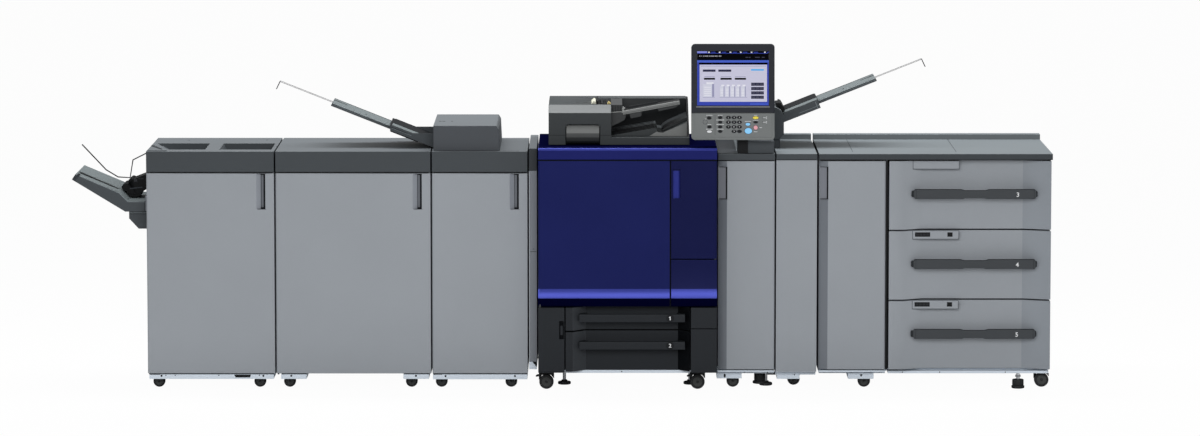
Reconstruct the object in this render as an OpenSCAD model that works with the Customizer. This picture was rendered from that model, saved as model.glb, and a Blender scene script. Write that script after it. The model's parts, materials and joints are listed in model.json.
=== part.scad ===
// Digital production printing line: finisher, folder, cover inserter, print engine,
// relay units and a three-drawer paper feeder, docked side by side.
// Millimetres. X runs along the line to the right, Y runs into the machine from the
// front faces of the grey units (the operator stands at negative Y), Z is up from the floor.
// The model is placed with its origin at the middle of the footprint, on the floor.

/* [Line] */
// Gap between two neighbouring units
unit_gap = 6; // [6:1:12]
// Gap between the right relay unit and the paper feeder
feeder_gap = 9; // [6:1:16]
// Clearance around every door and drawer front
door_gap = 5; // [5:0.5:8]
// Thickness of a swing door
door_t = 26; // [22:1:34]
// Inset of a door's pivot from its edge and its face
pivot_inset = 8; // [7:0.5:10]
// Free space between a door's back and the housing
door_back_gap = 8; // [7:0.5:12]
// Radius of a hinge pin
pin_r = 4; // [3:0.5:5]
// Radial clearance of a pin in its bore
pin_clear = 0.08; // [0.04:0.01:0.1]
// Depth of a pin in a door
pin_depth = 12; // [8:1:20]

/* [Finishing units] */
// Width of the finisher
finisher_w = 546; // [450:1:650]
// Width of the folder
folder_w = 663; // [560:1:760]
// Width of the unit under the cover inserter
inserter_w = 409; // [380:1:500]
// Width of the narrow relay beside the engine
relay_w = 34; // [28:1:60]
// Depth of the finishing units
finishing_d = 638; // [560:1:720]
// Height of the underside of the finishing units
finishing_z0 = 66; // [62:1:90]
// Distance of the finishing units' tops below the engine's top
finishing_drop = 24; // [0:1:60]
// Height of the top caps of the finishing units
cap_h = 88; // [70:1:110]
// Depth of the two wells in the finisher's cap
well_depth = 36; // [20:1:50]
// Distance of the wells from the cap's front
well_front = 95; // [60:1:120]
// Width of the wells, along Y
well_w = 280; // [200:1:320]
// Rim of the cap beside the wells
well_rim = 16; // [10:1:30]
// Width of the bridge between the wells
well_bridge = 66; // [40:1:90]
// Distance of the narrow relay's top below the engine's top
relay_drop = 11; // [0:1:40]

/* [Engine] */
// Width of the engine
engine_w = 763; // [700:1:840]
// Distance that the engine's front stands in front of the grey units
engine_front = 100; // [60:1:140]
// Depth of the engine behind the front of the grey units
engine_back = 690; // [620:1:760]
// Depth of the engine's flat top behind the front of the grey units
engine_top_back = 572; // [520:1:600]
// Height of the engine's top
engine_h = 1051; // [1000:1:1100]
// Height of the engine's top cover
engine_cover_h = 50; // [36:1:70]
// Height of the underside of the engine's doors
engine_door_z0 = 372; // [340:1:420]
// Height of the seam under the small right door
small_door_z0 = 578; // [520:1:640]
// Width of the small right door
small_door_w = 196; // [160:1:240]
// Height of the foot of the ridge along the doors
ridge_z0 = 409; // [400:1:430]
// Height of the ridge's slope
ridge_h = 39; // [25:1:50]
// Distance that the ridge stands forward
ridge_out = 14; // [8:1:20]
// Height of the underside of the engine's base
engine_z0 = 87; // [80:1:100]
// Width of the left panel of the base
base_left_w = 112; // [90:1:140]
// Width of the right panels of the base
base_right_w = 111; // [90:1:140]
// Height of the seam between the two engine drawers
engine_drawer_seam = 265; // [240:1:290]
// Depth of the recess in the engine's drawer fronts
engine_recess = 60; // [40:1:70]

/* [Right units] */
// Width of the conveyor unit with its door
conveyor_w = 243; // [200:1:300]
// Width of the plain relay unit
bridge_w = 174; // [140:1:220]
// Width of the paper feeder
feeder_w = 993; // [960:1:1100]
// Depth of the right units
feeder_d = 725; // [680:1:780]
// Height of the underside of the right units' doors
feeder_z0 = 88; // [84:1:100]
// Distance of the boards' tops below the engine's top
board_drop = 34; // [20:1:70]
// Thickness of the top boards
board_t = 26; // [20:1:34]
// Height of the lip along the back of the boards
lip_h = 23; // [10:1:30]
// Depth of the lip
lip_d = 58; // [40:1:80]
// Distance that the last board passes the feeder's side
board_over = 5; // [2:1:10]
// Width of the feeder's door
feeder_door_w = 285; // [240:1:320]
// Gap between the feeder's door and its drawers
feeder_mid_gap = 15; // [10:1:24]
// Width of the slanted strip along a door's left edge
strip_w = 38; // [30:1:44]
// Depth of that slant
strip_d = 16; // [8:1:18]
// Depth of the recess in the feeder's drawer fronts
feeder_recess = 45; // [30:1:50]
// Thickness of a feeder drawer front
drawer_front_t = 62; // [58:1:80]

/* [Drawers] */
// Wall of a drawer tub
tub_t = 4; // [3:0.5:6]
// Free space between a tub and its cabinet, at the sides
tub_side_gap = 14; // [12:1:20]
// Height of a tub's runner flange
runner_t = 5; // [4:0.5:8]
// Running clearance of a runner on its ledge
runner_clear = 0.3; // [0.2:0.05:0.5]
// Height of a handle bar
handle_h = 42; // [34:1:50]
// Thickness of a handle bar
handle_t = 24; // [18:1:28]
// Distance that a handle bar stands in front of the drawer front
handle_out = 12; // [6:1:13]

/* [Hand recesses] */
// Width of the recess in a finishing unit's door
grip_w = 44; // [36:1:60]
// Height of that recess
grip_h = 152; // [120:1:180]
// Depth of that recess
grip_d = 18; // [10:1:20]
// Distance of that recess from the door's free edge
grip_edge = 32; // [26:1:50]
// Distance of that recess from the door's top
grip_top = 3; // [2:1:20]
// Height of the recess in a right unit's slanted strip
strip_grip_h = 141; // [110:1:160]
// Distance of that recess from the door's top
strip_grip_top = 25; // [16:1:40]

/* [Cover inserter] */
// Width of the cover inserter's body
ci_w = 284; // [250:1:300]
// Depth of the cover inserter's body
ci_d = 560; // [480:1:600]
// Height of the cover inserter's body
ci_h = 108; // [90:1:130]
// Slope of the paper trays
tray_slope = 21.6; // [18:0.2:26]
// Width of a tray extension, along Y
extension_w = 230; // [150:1:240]
// Width of a paper tray, along Y
paper_tray_w = 330; // [300:1:360]
// Length of the cover inserter's tray, along X
tray_len = 190; // [150:1:230]
// Thickness of a paper tray's floor
tray_floor_t = 8; // [5:1:12]
// Thickness of a paper tray's side plates
tray_side_t = 12; // [8:1:16]
// Length of the cover inserter's tray extension that shows
extension_len = 275; // [200:1:300]
// Length of a tray extension inside its tray
extension_inner_len = 40; // [30:1:60]
// Thickness of a tray extension
extension_t = 15; // [12:1:20]
// Length of the cover inserter's wire stop that shows
wire_len = 245; // [200:1:300]
// Diameter of a wire stop
wire_d = 4; // [3:0.5:6]
// Distance between the two wires of a stop
wire_pitch = 40; // [24:1:60]
// Height of a wire stop's hook
wire_hook_h = 34; // [20:1:50]
// Length of the bypass tray's extension that shows
bypass_extension_len = 268; // [160:1:300]
// Length of the bypass tray's wire stop that shows
bypass_wire_len = 218; // [160:1:300]

/* [Bypass tray] */
// Width of the bypass unit's body, along X
bypass_w = 200; // [180:1:240]
// Depth of the bypass unit's body
bypass_d = 390; // [370:1:420]
// Distance of the bypass unit from the grey fronts
bypass_front = 250; // [200:1:300]
// Length of the bypass unit's tray, along X
bypass_tray_len = 160; // [130:1:200]
// Height of the side plates of the bypass unit's tray, across their slope
bypass_plate_h = 35; // [24:1:44]
// Height of the bypass unit's body
bypass_h = 138; // [120:1:160]
// Height of the block under the bypass unit
bypass_foot_h = 40; // [30:1:60]

/* [Document feeder] */
// Width of the document feeder
adf_w = 603; // [560:1:660]
// Width of its head
adf_head_w = 268; // [220:1:300]
// Depth of the document feeder
adf_d = 520; // [460:1:530]
// Distance of the document feeder's front from the grey fronts
adf_y = 34; // [20:1:60]
// Thickness of its base
adf_base_h = 33; // [28:1:45]
// Height of its top above the engine
adf_h = 168; // [150:1:190]
// Gap between the closed document feeder and the engine
adf_seat = 1; // [0.5:0.5:3]
// Distance of the feeder's hinge axis from its lower rear edge
hinge_inset = 14; // [12:1:16]
// Thickness of the feeder's rear wall
adf_wall = 110; // [80:1:130]
// Width of the pocket under the feeder's head
pocket_w = 147; // [120:1:170]
// Height of that pocket
pocket_h = 88; // [70:1:100]
// Depth of that pocket
pocket_d = 45; // [30:1:60]

/* [Control panel] */
// Width of the control panel
panel_w = 355; // [320:1:380]
// Height of the control panel
panel_h = 410; // [380:1:430]
// Thickness of the control panel
panel_t = 30; // [24:1:40]
// Lean of the control panel at rest
panel_lean = 6; // [0:1:12]
// Radius of the control panel's corners
panel_corner = 16; // [8:1:24]
// Height of the key field, from the panel's lower edge
key_field_h = 117; // [100:1:130]
// Height of the panel's lower edge above the engine's top
panel_over = 31; // [20:1:50]
// Width of the post that carries the panel
post_w = 46; // [36:1:60]

/* [Exit tray] */
// Length of the exit tray past the finisher's side
exit_len = 328; // [280:1:380]
// Width of the exit tray, along Y
exit_w = 400; // [330:1:440]
// Distance of the exit tray from the grey fronts
exit_y = 100; // [60:1:140]
// Distance of the underside of the exit tray's end block below the finisher's top
exit_drop = 269; // [220:1:320]
// Length of that end block
exit_block_len = 100; // [80:1:130]
// Slope of the exit tray
exit_slope = 31.3; // [24:0.1:36]

/* [Running gear] */
// Radius of the finishing units' casters
finishing_caster_r = 25.5; // [22:0.5:27]
// Radius of the right units' casters
caster_r = 27; // [24:0.5:29]
// Radius of the large casters
big_caster_r = 31; // [28:0.5:34]
// Width of a caster wheel
caster_w = 24; // [18:1:30]
// Radius of a levelling foot's pad
foot_r = 28; // [22:1:32]
// Height of the base rails
rail_h = 15; // [10:1:18]
// Height of the engine's base rail
engine_rail_h = 10; // [8:1:14]

/* [Hidden] */
$fn = 48;

// Positions along the line
finisher_x = 0;
folder_x = finisher_x + finisher_w + unit_gap;
inserter_x = folder_x + folder_w + unit_gap;
relay_x = inserter_x + inserter_w + unit_gap;
engine_x = relay_x + relay_w + unit_gap;
conveyor_x = engine_x + engine_w + unit_gap;
bridge_x = conveyor_x + conveyor_w + unit_gap;
feeder_x = bridge_x + bridge_w + feeder_gap;
line_end = feeder_x + feeder_w + board_over;
line_start = -exit_len;
front_y = -engine_front - ridge_out;

// Heights
engine_cover_z = engine_h - engine_cover_h;
finishing_h = engine_h - finishing_drop;
finishing_cap_z = finishing_h - cap_h;
finishing_door_z1 = finishing_cap_z - door_gap;
relay_h = engine_h - relay_drop;
board_top = engine_h - board_drop;
board_z = board_top - board_t;
feeder_door_z1 = board_z - door_gap;
exit_tray_z = finishing_h - exit_drop;
housing_y = door_t + door_back_gap;
sill_t = 6;
right_z0 = feeder_z0 - door_gap - sill_t;
relay_z0 = 122;
finishing_door_z0 = finishing_z0 + door_gap;

// Feeder drawers, from the bottom: lower edge and upper edge of each front
drawer_field = feeder_door_z1 - feeder_z0;
feeder_drawer_h = (drawer_field - 2 * (door_gap + 1)) / 3;
function feeder_drawer_z(i) = feeder_z0 + i * (feeder_drawer_h + door_gap + 1);
feeder_drawers_x = feeder_x + feeder_door_w + feeder_mid_gap;
feeder_drawers_w = feeder_w - feeder_door_w - feeder_mid_gap;
cabinet_side = 12;
cabinet_back_t = 20;
slam_gap = 8;
cabinet_y = drawer_front_t + slam_gap;
cabinet_back = feeder_d - cabinet_back_t;
// Heights of a ledge, a tub's underside and a tub's free headroom, from the drawer front's edges
feeder_ledge_h = 44;
feeder_tub_z = 14;
feeder_headroom = 26;
handle_foot_w = 34;
feeder_handle_ends = [92, 68];

// Engine drawers
engine_front_t = engine_recess + 17;
engine_seam_h = 6;
engine_ledge_h = 36;
engine_tub_z = 10;
engine_headroom = 14;
engine_handle_ends = [58, 20];
engine_handle_h = 34;
// Heights of the two engine handles' middles, from the seam between the drawers
engine_handle_up = 58;
engine_handle_down = 60;
engine_drawers_x = engine_x + base_left_w + door_gap;
engine_drawers_w = engine_w - base_left_w - base_right_w - 2 * door_gap;
engine_base_top = engine_door_z0 - door_gap;
engine_cavity_back = 470;
engine_base_y = -engine_front + engine_front_t + slam_gap;

// Sloping trays and their parts
exit_block_h = 46;
exit_tray_t = 24;
exit_box_h = 74;
exit_box_w = 320;
exit_box_len = 87;
exit_roller_w = 140;
exit_wire_d = 5;
ci_y = 30;
ci_inset = 6;
tray_y = 150;
tray_root_h = 2;
plate_h = 62;
plate_tip_h = 14;
plate_mid_len = 125;
bypass_tray_y = 280;
bypass_tray_h = 70;
bypass_lift = 14;
bypass_over = 40;
bypass_x = bridge_x + bypass_over;
bypass_z = board_top + bypass_foot_h;

// Document feeder
adf_inset = 44;
adf_x = engine_x + adf_inset;
adf_z = engine_h + adf_seat;
adf_back = adf_y + adf_d;
adf_hinge_y = adf_back - hinge_inset;
adf_hinge_z = adf_z + hinge_inset;
adf_chamfer_h = 29;
adf_chamfer_d = 66;
pocket_x = 73;
input_tray_h = 90;
input_tray_t = 20;
input_tray_rise = 42;
output_tray_rise = 38;
output_ramp_len = 110;
output_ramp_h = 36;
hinge_lug_w = 24;
hinge_lug_inset = 80;
hinge_lug_r = 9;
lug_pin_len = 14;
function hinge_lugs() = [adf_x + hinge_lug_inset, adf_x + adf_w - hinge_lug_inset - hinge_lug_w];

// Control panel: the pivot lies in the panel's own plane, behind its front and above its lower edge
panel_over_engine = 110;
panel_x = engine_x + engine_w - panel_over_engine;
panel_y = -60;
panel_z = engine_h + panel_over;
panel_back_t = 34;
panel_back_inset = 30;
boss_w = 150;
boss_h = 60;
boss_z0 = 56;
boss_d = 62;
pivot_back = panel_t + 46;
pivot_up = boss_z0 + 26;
pivot_y = panel_y + pivot_back * cos(panel_lean) + pivot_up * sin(panel_lean);
pivot_z = panel_z + pivot_up * cos(panel_lean) - pivot_back * sin(panel_lean);
post_head_r = 12;
panel_pin_len = 18;
post_side = 83;
post_x = conveyor_x + post_side;
post_foot_d = 140;
post_foot_h = 40;
stand_front = 8;
stand_h = 54;
stand_side = 4;
screen_edge = 24;
screen_sink = 4;
screen_z0 = 147;
screen_z1 = 381;
key_edge = 12;
key_sink = 3;
seat_gap = 0.2;

// Rails, docking blocks, casters and feet
rail_front = 4;
right_rail_front = 40;
engine_rail_front = 20;
conveyor_rail_h = 22;
bridge_rail_h = 18;
cabinet_rail_h = 10;
short_rail_w = 110;
feeder_rail_x = 129;
docking_y = 400;
docking_d = 60;
docking_z = 500;
docking_h = 40;
caster_inset = 101;
foot_t = 10;
foot_stem_r = 7;

module placed() {
    translate([-(line_start + line_end) / 2, -(front_y + feeder_d) / 2, 0]) children();
}

// Box from one corner to the other
module block(x0, x1, y0, y1, z0, z1) {
    translate([x0, y0, z0]) cube([x1 - x0, y1 - y0, z1 - z0]);
}

// Outline in X and Z, pushed from y0 to y1
module push_y(y0, y1) {
    translate([0, y1, 0]) rotate([90, 0, 0]) linear_extrude(y1 - y0) children();
}

// Outline in Y and Z, pushed from x0 to x1
module push_x(x0, x1) {
    translate([x0, 0, 0]) rotate([90, 0, 90]) linear_extrude(x1 - x0) children();
}

// Bent wire of square section through points of one X-Z plane, at depth y
module wire(points, y, d) {
    push_y(y - d / 2, y + d / 2) for (i = [0 : len(points) - 2]) {
        a = points[i];
        b = points[i + 1];
        translate(a) rotate(atan2(b[1] - a[1], b[0] - a[0])) translate([0, -d / 2]) square([norm(b - a), d]);
        if (i > 0) translate(a) circle(d = d, $fn = 8);
    }
}

/* ---- swing doors ---- */

// Outline of a door seen from above, hinged at its left edge, front face at y = 0
module door_outline(w) {
    free_cut = 6;
    difference() {
        polygon([[0, 0], [w, 0], [w, door_t - free_cut], [w - free_cut, door_t], [0, door_t]]);
        difference() {
            translate([-1, -1]) square(pivot_inset + 1);
            translate([pivot_inset, pivot_inset]) circle(pivot_inset);
        }
    }
}

// Bores for the hinge pins, at the door's own lower and upper edge
module door_bores(z0, z1) {
    for (z = [z0 - 1, z1 - pin_depth - 1])
        translate([pivot_inset, pivot_inset, z]) cylinder(r = pin_r + pin_clear, h = pin_depth + 2);
}

// Plain door with a hand recess near its free edge
module grip_door(w, z0, z1) {
    difference() {
        translate([0, 0, z0]) linear_extrude(z1 - z0) door_outline(w);
        door_bores(z0, z1);
        translate([w - grip_edge - grip_w, 0, z1 - grip_top - grip_h]) linear_extrude(grip_h)
            polygon([[0, -1], [grip_w, -1], [grip_w, grip_d], [grip_w * 0.45, grip_d], [0, 0]]);
    }
}

// Door of the right units: its free edge is a slanted strip that holds the hand recess
module strip_door(w, z0, z1) {
    difference() {
        translate([0, 0, z0]) linear_extrude(z1 - z0) door_outline(w);
        door_bores(z0, z1);
        translate([0, 0, z0 - 1]) linear_extrude(z1 - z0 + 2)
            polygon([[w - strip_w, 0], [w - strip_w, -1], [w + 1, -1], [w + 1, strip_d]]);
        translate([w - strip_w - 1, -1, z1 - strip_grip_top - strip_grip_h])
            cube([strip_w - 3, strip_d + 4, strip_grip_h]);
    }
}

module from_right(x) { translate([x, 0, 0]) mirror([1, 0, 0]) children(); }

/* ---- finishing units ---- */

module unit_box(x, w) {
    block(x, x + w, housing_y, finishing_d, finishing_z0, finishing_cap_z);
}

module unit_cap(x, w) {
    block(x, x + w, 0, finishing_d, finishing_cap_z, finishing_h);
}

module finisher_housing() { color([0.58, 0.61, 0.64]) placed() unit_box(finisher_x, finisher_w); }
module folder_housing() { color([0.58, 0.61, 0.64]) placed() unit_box(folder_x, folder_w); }
module inserter_housing() { color([0.58, 0.61, 0.64]) placed() unit_box(inserter_x, inserter_w); }

// Cap with two sunken trays; the left one has a long ramp
module finisher_cap() {
    middle = 0.44 * finisher_w;
    ramp = 2 * well_depth;
    z1 = finishing_h;
    z0 = z1 - well_depth;
    color([0.29, 0.31, 0.33]) placed() difference() {
        unit_cap(finisher_x, finisher_w);
        push_y(well_front, well_front + well_w)
            polygon([[well_rim, z1 + 1], [well_rim + ramp, z0], [middle, z0], [middle + well_depth / 6, z1 + 1]]);
        push_y(well_front, well_front + well_w)
            polygon([[middle + well_bridge, z1 + 1], [middle + well_bridge + well_depth / 2, z0],
                [finisher_w - well_rim, z0], [finisher_w - well_rim, z1 + 1]]);
    }
}
module folder_cap() { color([0.29, 0.31, 0.33]) placed() unit_cap(folder_x, folder_w); }
module inserter_cap() { color([0.29, 0.31, 0.33]) placed() unit_cap(inserter_x, inserter_w); }

module finisher_door() {
    color([0.59, 0.61, 0.63]) placed() translate([finisher_x, 0, 0])
        grip_door(finisher_w, finishing_door_z0, finishing_door_z1);
}
module folder_door() {
    color([0.59, 0.61, 0.63]) placed() translate([folder_x, 0, 0])
        grip_door(folder_w, finishing_door_z0, finishing_door_z1);
}
module inserter_door() {
    color([0.59, 0.61, 0.63]) placed() translate([inserter_x, 0, 0])
        grip_door(inserter_w, finishing_door_z0, finishing_door_z1);
}

// Sloping output tray with its end block against the finisher
module exit_tray() {
    z = exit_tray_z;
    tip_z = z + (exit_len - exit_block_len) * tan(exit_slope);
    top = z + exit_block_h;
    color([0.33, 0.35, 0.37]) placed() push_y(exit_y, exit_y + exit_w) polygon([
        [-exit_block_len, z], [0, z], [0, top], [-0.87 * exit_block_len, top],
        [-1.3 * exit_block_len, z + 0.86 * exit_block_len], [-exit_len + 0.67 * exit_tray_t, tip_z + exit_tray_t],
        [-exit_len, tip_z]]);
}

// Point of the exit mechanism: left of the finisher and above the tray's end block, both as
// shares of the block's length
function at_exit(p) = [-p[0] * exit_block_len, exit_tray_z + p[1] * exit_block_len];

// Arm with two rollers that hand the sheets to the tray
module exit_rollers() {
    y0 = exit_y + (exit_w - exit_roller_w) / 2;
    color([0.09, 0.1, 0.1]) placed() push_y(y0, y0 + exit_roller_w) {
        polygon([for (p = [[0, 1.56], [0, 0.94], [0.6, 0.6], [0.96, 0.64], [1.1, 0.84], [0.88, 1.22]]) at_exit(p)]);
        translate(at_exit([1.08, 0.92])) circle(0.16 * exit_block_len);
        translate(at_exit([0.84, 1.18])) circle(0.12 * exit_block_len);
    }
}

// Bent wire in one length that holds the sheets down
module exit_wires() {
    y = exit_y + (exit_w - exit_roller_w) / 2 - 8;
    color([0.1, 0.1, 0.1]) placed()
        wire([for (p = [[0, 2.38], [0.14, 2.38], [0.82, 2.05], [0.94, 1.28], [1.47, 1.31], [1.99, 1.63], [3, 2.72]])
            at_exit(p)], y, exit_wire_d);
}

module exit_box() {
    y0 = exit_y + (exit_w - exit_box_w) / 2;
    z1 = exit_tray_z - 4;
    z0 = z1 - exit_box_h;
    color([0.33, 0.35, 0.37]) placed() push_y(y0, y0 + exit_box_w)
        polygon([[0, z0], [0, z1], [-exit_box_len, z1], [-exit_box_len, z0 + 0.6 * exit_box_h],
            [-0.53 * exit_box_len, z0]]);
}

/* ---- cover inserter and paper trays ---- */

module cover_inserter_body() {
    x = inserter_x + ci_inset;
    z = finishing_h;
    color([0.31, 0.33, 0.35]) placed() push_y(ci_y, ci_y + ci_d)
        polygon([[x, z], [x + ci_w, z], [x + ci_w - 0.04 * ci_h, z + 0.85 * ci_h],
            [x + ci_w - 0.13 * ci_h, z + ci_h], [x, z + ci_h]]);
}

// A paper tray rises to the left from a body at x = 0: two side plates, whose outline is given,
// and a sloping floor over its extension. root_z is the height of its underside at the body, and
// lift is the extension's distance from that underside.
module paper_tray(root_z, floor_len, lift) {
    rise = floor_len * tan(tray_slope);
    z = root_z + (lift + extension_t + 2 * runner_clear) / cos(tray_slope);
    for (y = [0, paper_tray_w - tray_side_t]) push_y(y, y + tray_side_t) children();
    push_y(0, paper_tray_w) polygon([[0, z], [0, z + tray_floor_t],
        [-floor_len, z + rise + tray_floor_t], [-floor_len, z + rise]]);
}

// Plate that slides under the tray's floor, with two wires at its far end
module tray_extension(root_z, len, lift, plate_len, stop_len) {
    mid = paper_tray_w / 2;
    z0 = lift + runner_clear;
    u0 = len / cos(tray_slope);
    u1 = u0 + plate_len;
    translate([0, 0, root_z]) rotate([0, tray_slope, 0]) {
        block(-u1, extension_inner_len - u0, mid - extension_w / 2, mid + extension_w / 2,
            z0, z0 + extension_t);
        for (y = [mid - wire_pitch / 2, mid + wire_pitch / 2])
            translate([-u1 - stop_len, y, z0 + extension_t / 2])
                rotate([0, 90, 0]) cylinder(d = wire_d, h = stop_len, $fn = 16);
        translate([-u1 - stop_len - wire_d / 2, mid - wire_pitch / 2 - wire_d / 2,
                z0 + extension_t / 2 - wire_hook_h])
            cube([wire_d, wire_pitch + wire_d, wire_hook_h + wire_d / 2]);
    }
}

module at_inserter_tray() { placed() translate([inserter_x + ci_inset, tray_y, 0]) children(); }
module cover_inserter_tray() {
    z = finishing_h + tray_root_h;
    tip_z = z + tray_len * tan(tray_slope);
    color([0.3, 0.32, 0.34]) at_inserter_tray() paper_tray(z, tray_len, 0)
        polygon([[0, z], [0, z + plate_h], [-plate_mid_len, z + plate_h],
            [-tray_len, tip_z + plate_tip_h], [-tray_len, tip_z]]);
}
module cover_inserter_extension() {
    color([0.52, 0.54, 0.55]) at_inserter_tray()
        tray_extension(finishing_h + tray_root_h, tray_len, 0, extension_len, wire_len);
}

module narrow_relay() {
    color([0.5, 0.52, 0.55]) placed() block(relay_x, relay_x + relay_w, 0, finishing_d, relay_z0, relay_h);
}

/* ---- engine ---- */

module engine_core() {
    color([0.1, 0.11, 0.16]) placed() block(engine_x, engine_x + engine_w,
        -engine_front + housing_y, engine_back, engine_door_z0, engine_cover_z);
}

module engine_top_cover() {
    f = -engine_front;
    color([0.1, 0.12, 0.36]) placed() push_x(engine_x, engine_x + engine_w)
        polygon([[f, engine_cover_z], [f, engine_h - 8], [f + 8, engine_h], [engine_top_back, engine_h],
            [engine_back, engine_cover_z + 6], [engine_back, engine_cover_z]]);
}

// Ridge that stands forward along the foot of the engine's doors
module ridge(w, first) {
    push_x(first, w) polygon([[door_t, engine_door_z0], [10, engine_door_z0], [-ridge_out, ridge_z0],
        [0, ridge_z0 + ridge_h], [door_t, ridge_z0 + ridge_h]]);
}

module ridge_door(w, z0, z1) {
    difference() {
        union() {
            translate([0, 0, ridge_z0 + ridge_h]) linear_extrude(z1 - ridge_z0 - ridge_h) door_outline(w);
            intersection() {
                ridge(w, 0);
                translate([0, 0, z0]) linear_extrude(ridge_h * 3) union() {
                    door_outline(w);
                    translate([0, -ridge_out]) square([w, ridge_out + pivot_inset]);
                }
            }
        }
        door_bores(z0, z1);
    }
}

module engine_door() {
    w = engine_w - small_door_w - door_gap - 1;
    color([0.11, 0.13, 0.38]) placed() translate([engine_x, -engine_front, 0])
        ridge_door(w, engine_door_z0, engine_cover_z - door_gap);
}

module engine_small_door() {
    color([0.08, 0.1, 0.26]) placed() from_right(engine_x + engine_w) translate([0, -engine_front, 0]) difference() {
        translate([0, 0, small_door_z0]) linear_extrude(engine_cover_z - door_gap - small_door_z0)
            door_outline(small_door_w);
        door_bores(small_door_z0, engine_cover_z - door_gap);
        translate([small_door_w - 40, -1, engine_cover_z - door_gap - 160]) cube([33, 13, 125]);
    }
}

module engine_lower_panel() {
    color([0.08, 0.1, 0.26]) placed() translate([engine_x + engine_w - small_door_w, -engine_front, 0]) {
        ridge(small_door_w, 0);
        block(0, small_door_w, 0, housing_y, ridge_z0 + ridge_h, small_door_z0 - door_gap);
    }
}

module engine_base() {
    x0 = engine_x;
    x1 = engine_x + engine_w;
    inner0 = engine_drawers_x;
    inner1 = engine_drawers_x + engine_drawers_w;
    y0 = engine_base_y;
    color([0.17, 0.18, 0.2]) placed() {
        difference() {
            block(x0, x1, y0, engine_back, engine_z0, engine_door_z0);
            block(inner0, inner1, y0 - 1, engine_cavity_back, engine_z0 + sill_t, engine_drawer_seam - 4);
            block(inner0, inner1, y0 - 1, engine_cavity_back, engine_drawer_seam + 4, engine_door_z0 + 1);
        }
        for (i = [0, 1]) ledges(inner0, inner1, y0, engine_cavity_back, engine_ledge_z(i));
    }
}

// Two ledges that carry a tub's runners
module ledges(x0, x1, y0, y1, z) {
    block(x0, x0 + tub_side_gap - 5, y0, y1, z - runner_t, z);
    block(x1 - tub_side_gap + 5, x1, y0, y1, z - runner_t, z);
}

// Fixed panels beside the engine's drawers
module engine_base_panels() {
    f = -engine_front;
    y1 = engine_base_y;
    x1 = engine_x + engine_w;
    color([0.18, 0.2, 0.21]) placed() {
        difference() {
            block(engine_x, engine_x + base_left_w, f, y1, engine_z0, engine_base_top);
            block(engine_x + base_left_w - 22, engine_x + base_left_w - 3, f - 1, f + 12,
                engine_drawer_seam - 33, engine_drawer_seam + 44);
        }
        block(x1 - base_right_w, x1, f, y1, engine_z0, engine_drawer_seam + 10);
        block(x1 - base_right_w, x1, f, y1, engine_drawer_seam + 13, engine_base_top);
    }
}

/* ---- drawers ---- */

// Front seen from above: a flush end, two slanted flanks and a recessed middle.
// ends holds the flush end's width and the widths of the left and right flanks.
module drawer_outline(w, t, recess, ends) {
    polygon([[0, 0], [ends[0], 0], [ends[0] + ends[1], recess], [w - ends[2], recess], [w, 0], [w, t], [0, t]]);
}

module drawer_front(w, t, recess, ends, z0, z1) {
    translate([0, 0, z0]) linear_extrude(z1 - z0) drawer_outline(w, t, recess, ends);
}

// Bar across the recess, whose two feet meet the slanted flanks
module drawer_handle(w, t, recess, ends, x0, x1, zc, h) {
    difference() {
        translate([0, 0, zc - h / 2]) linear_extrude(h) union() {
            translate([x0, -handle_out]) square([x1 - x0, handle_t]);
            for (x = [x0, x1 - handle_foot_w]) translate([x, -handle_out])
                square([handle_foot_w, handle_out + recess - 4]);
        }
        translate([0, 0, zc - h]) linear_extrude(2 * h) drawer_outline(w, t, recess, ends);
    }
}

// Open-topped paper tub with a runner flange on each side
module tub(x0, x1, y0, y1, z0, z1, ledge_z) {
    difference() {
        block(x0, x1, y0, y1, z0, z1);
        block(x0 + tub_t, x1 - tub_t, y0 + tub_t, y1 - tub_t, z0 + tub_t, z1 + 1);
    }
    reach = tub_side_gap - 6;
    z = ledge_z + runner_clear;
    block(x0 - reach, x0, y0 + 20, y1, z, z + runner_t);
    block(x1, x1 + reach, y0 + 20, y1, z, z + runner_t);
}

feeder_ends = [62, 83, 119];
feeder_drawer_count = 3;
module feeder_front(i) {
    color([0.56, 0.58, 0.6]) placed() translate([feeder_drawers_x, 0, 0])
        drawer_front(feeder_drawers_w, drawer_front_t, feeder_recess, feeder_ends,
            feeder_drawer_z(i), feeder_drawer_z(i) + feeder_drawer_h);
}
module feeder_handle(i) {
    color([0.25, 0.27, 0.28]) placed() translate([feeder_drawers_x, 0, 0])
        drawer_handle(feeder_drawers_w, drawer_front_t, feeder_recess, feeder_ends,
            feeder_handle_ends[0], feeder_drawers_w - feeder_handle_ends[1],
            feeder_drawer_z(i) + feeder_drawer_h / 2 + 6, handle_h);
}
module feeder_tub(i) {
    x0 = feeder_drawers_x + cabinet_side + tub_side_gap;
    x1 = feeder_drawers_x + feeder_drawers_w - cabinet_side - tub_side_gap;
    z0 = feeder_drawer_z(i);
    color([0.62, 0.64, 0.66]) placed() tub(x0, x1, drawer_front_t, cabinet_back - cabinet_back_t,
        z0 + feeder_tub_z, z0 + feeder_drawer_h - feeder_headroom, z0 + feeder_ledge_h);
}

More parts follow.
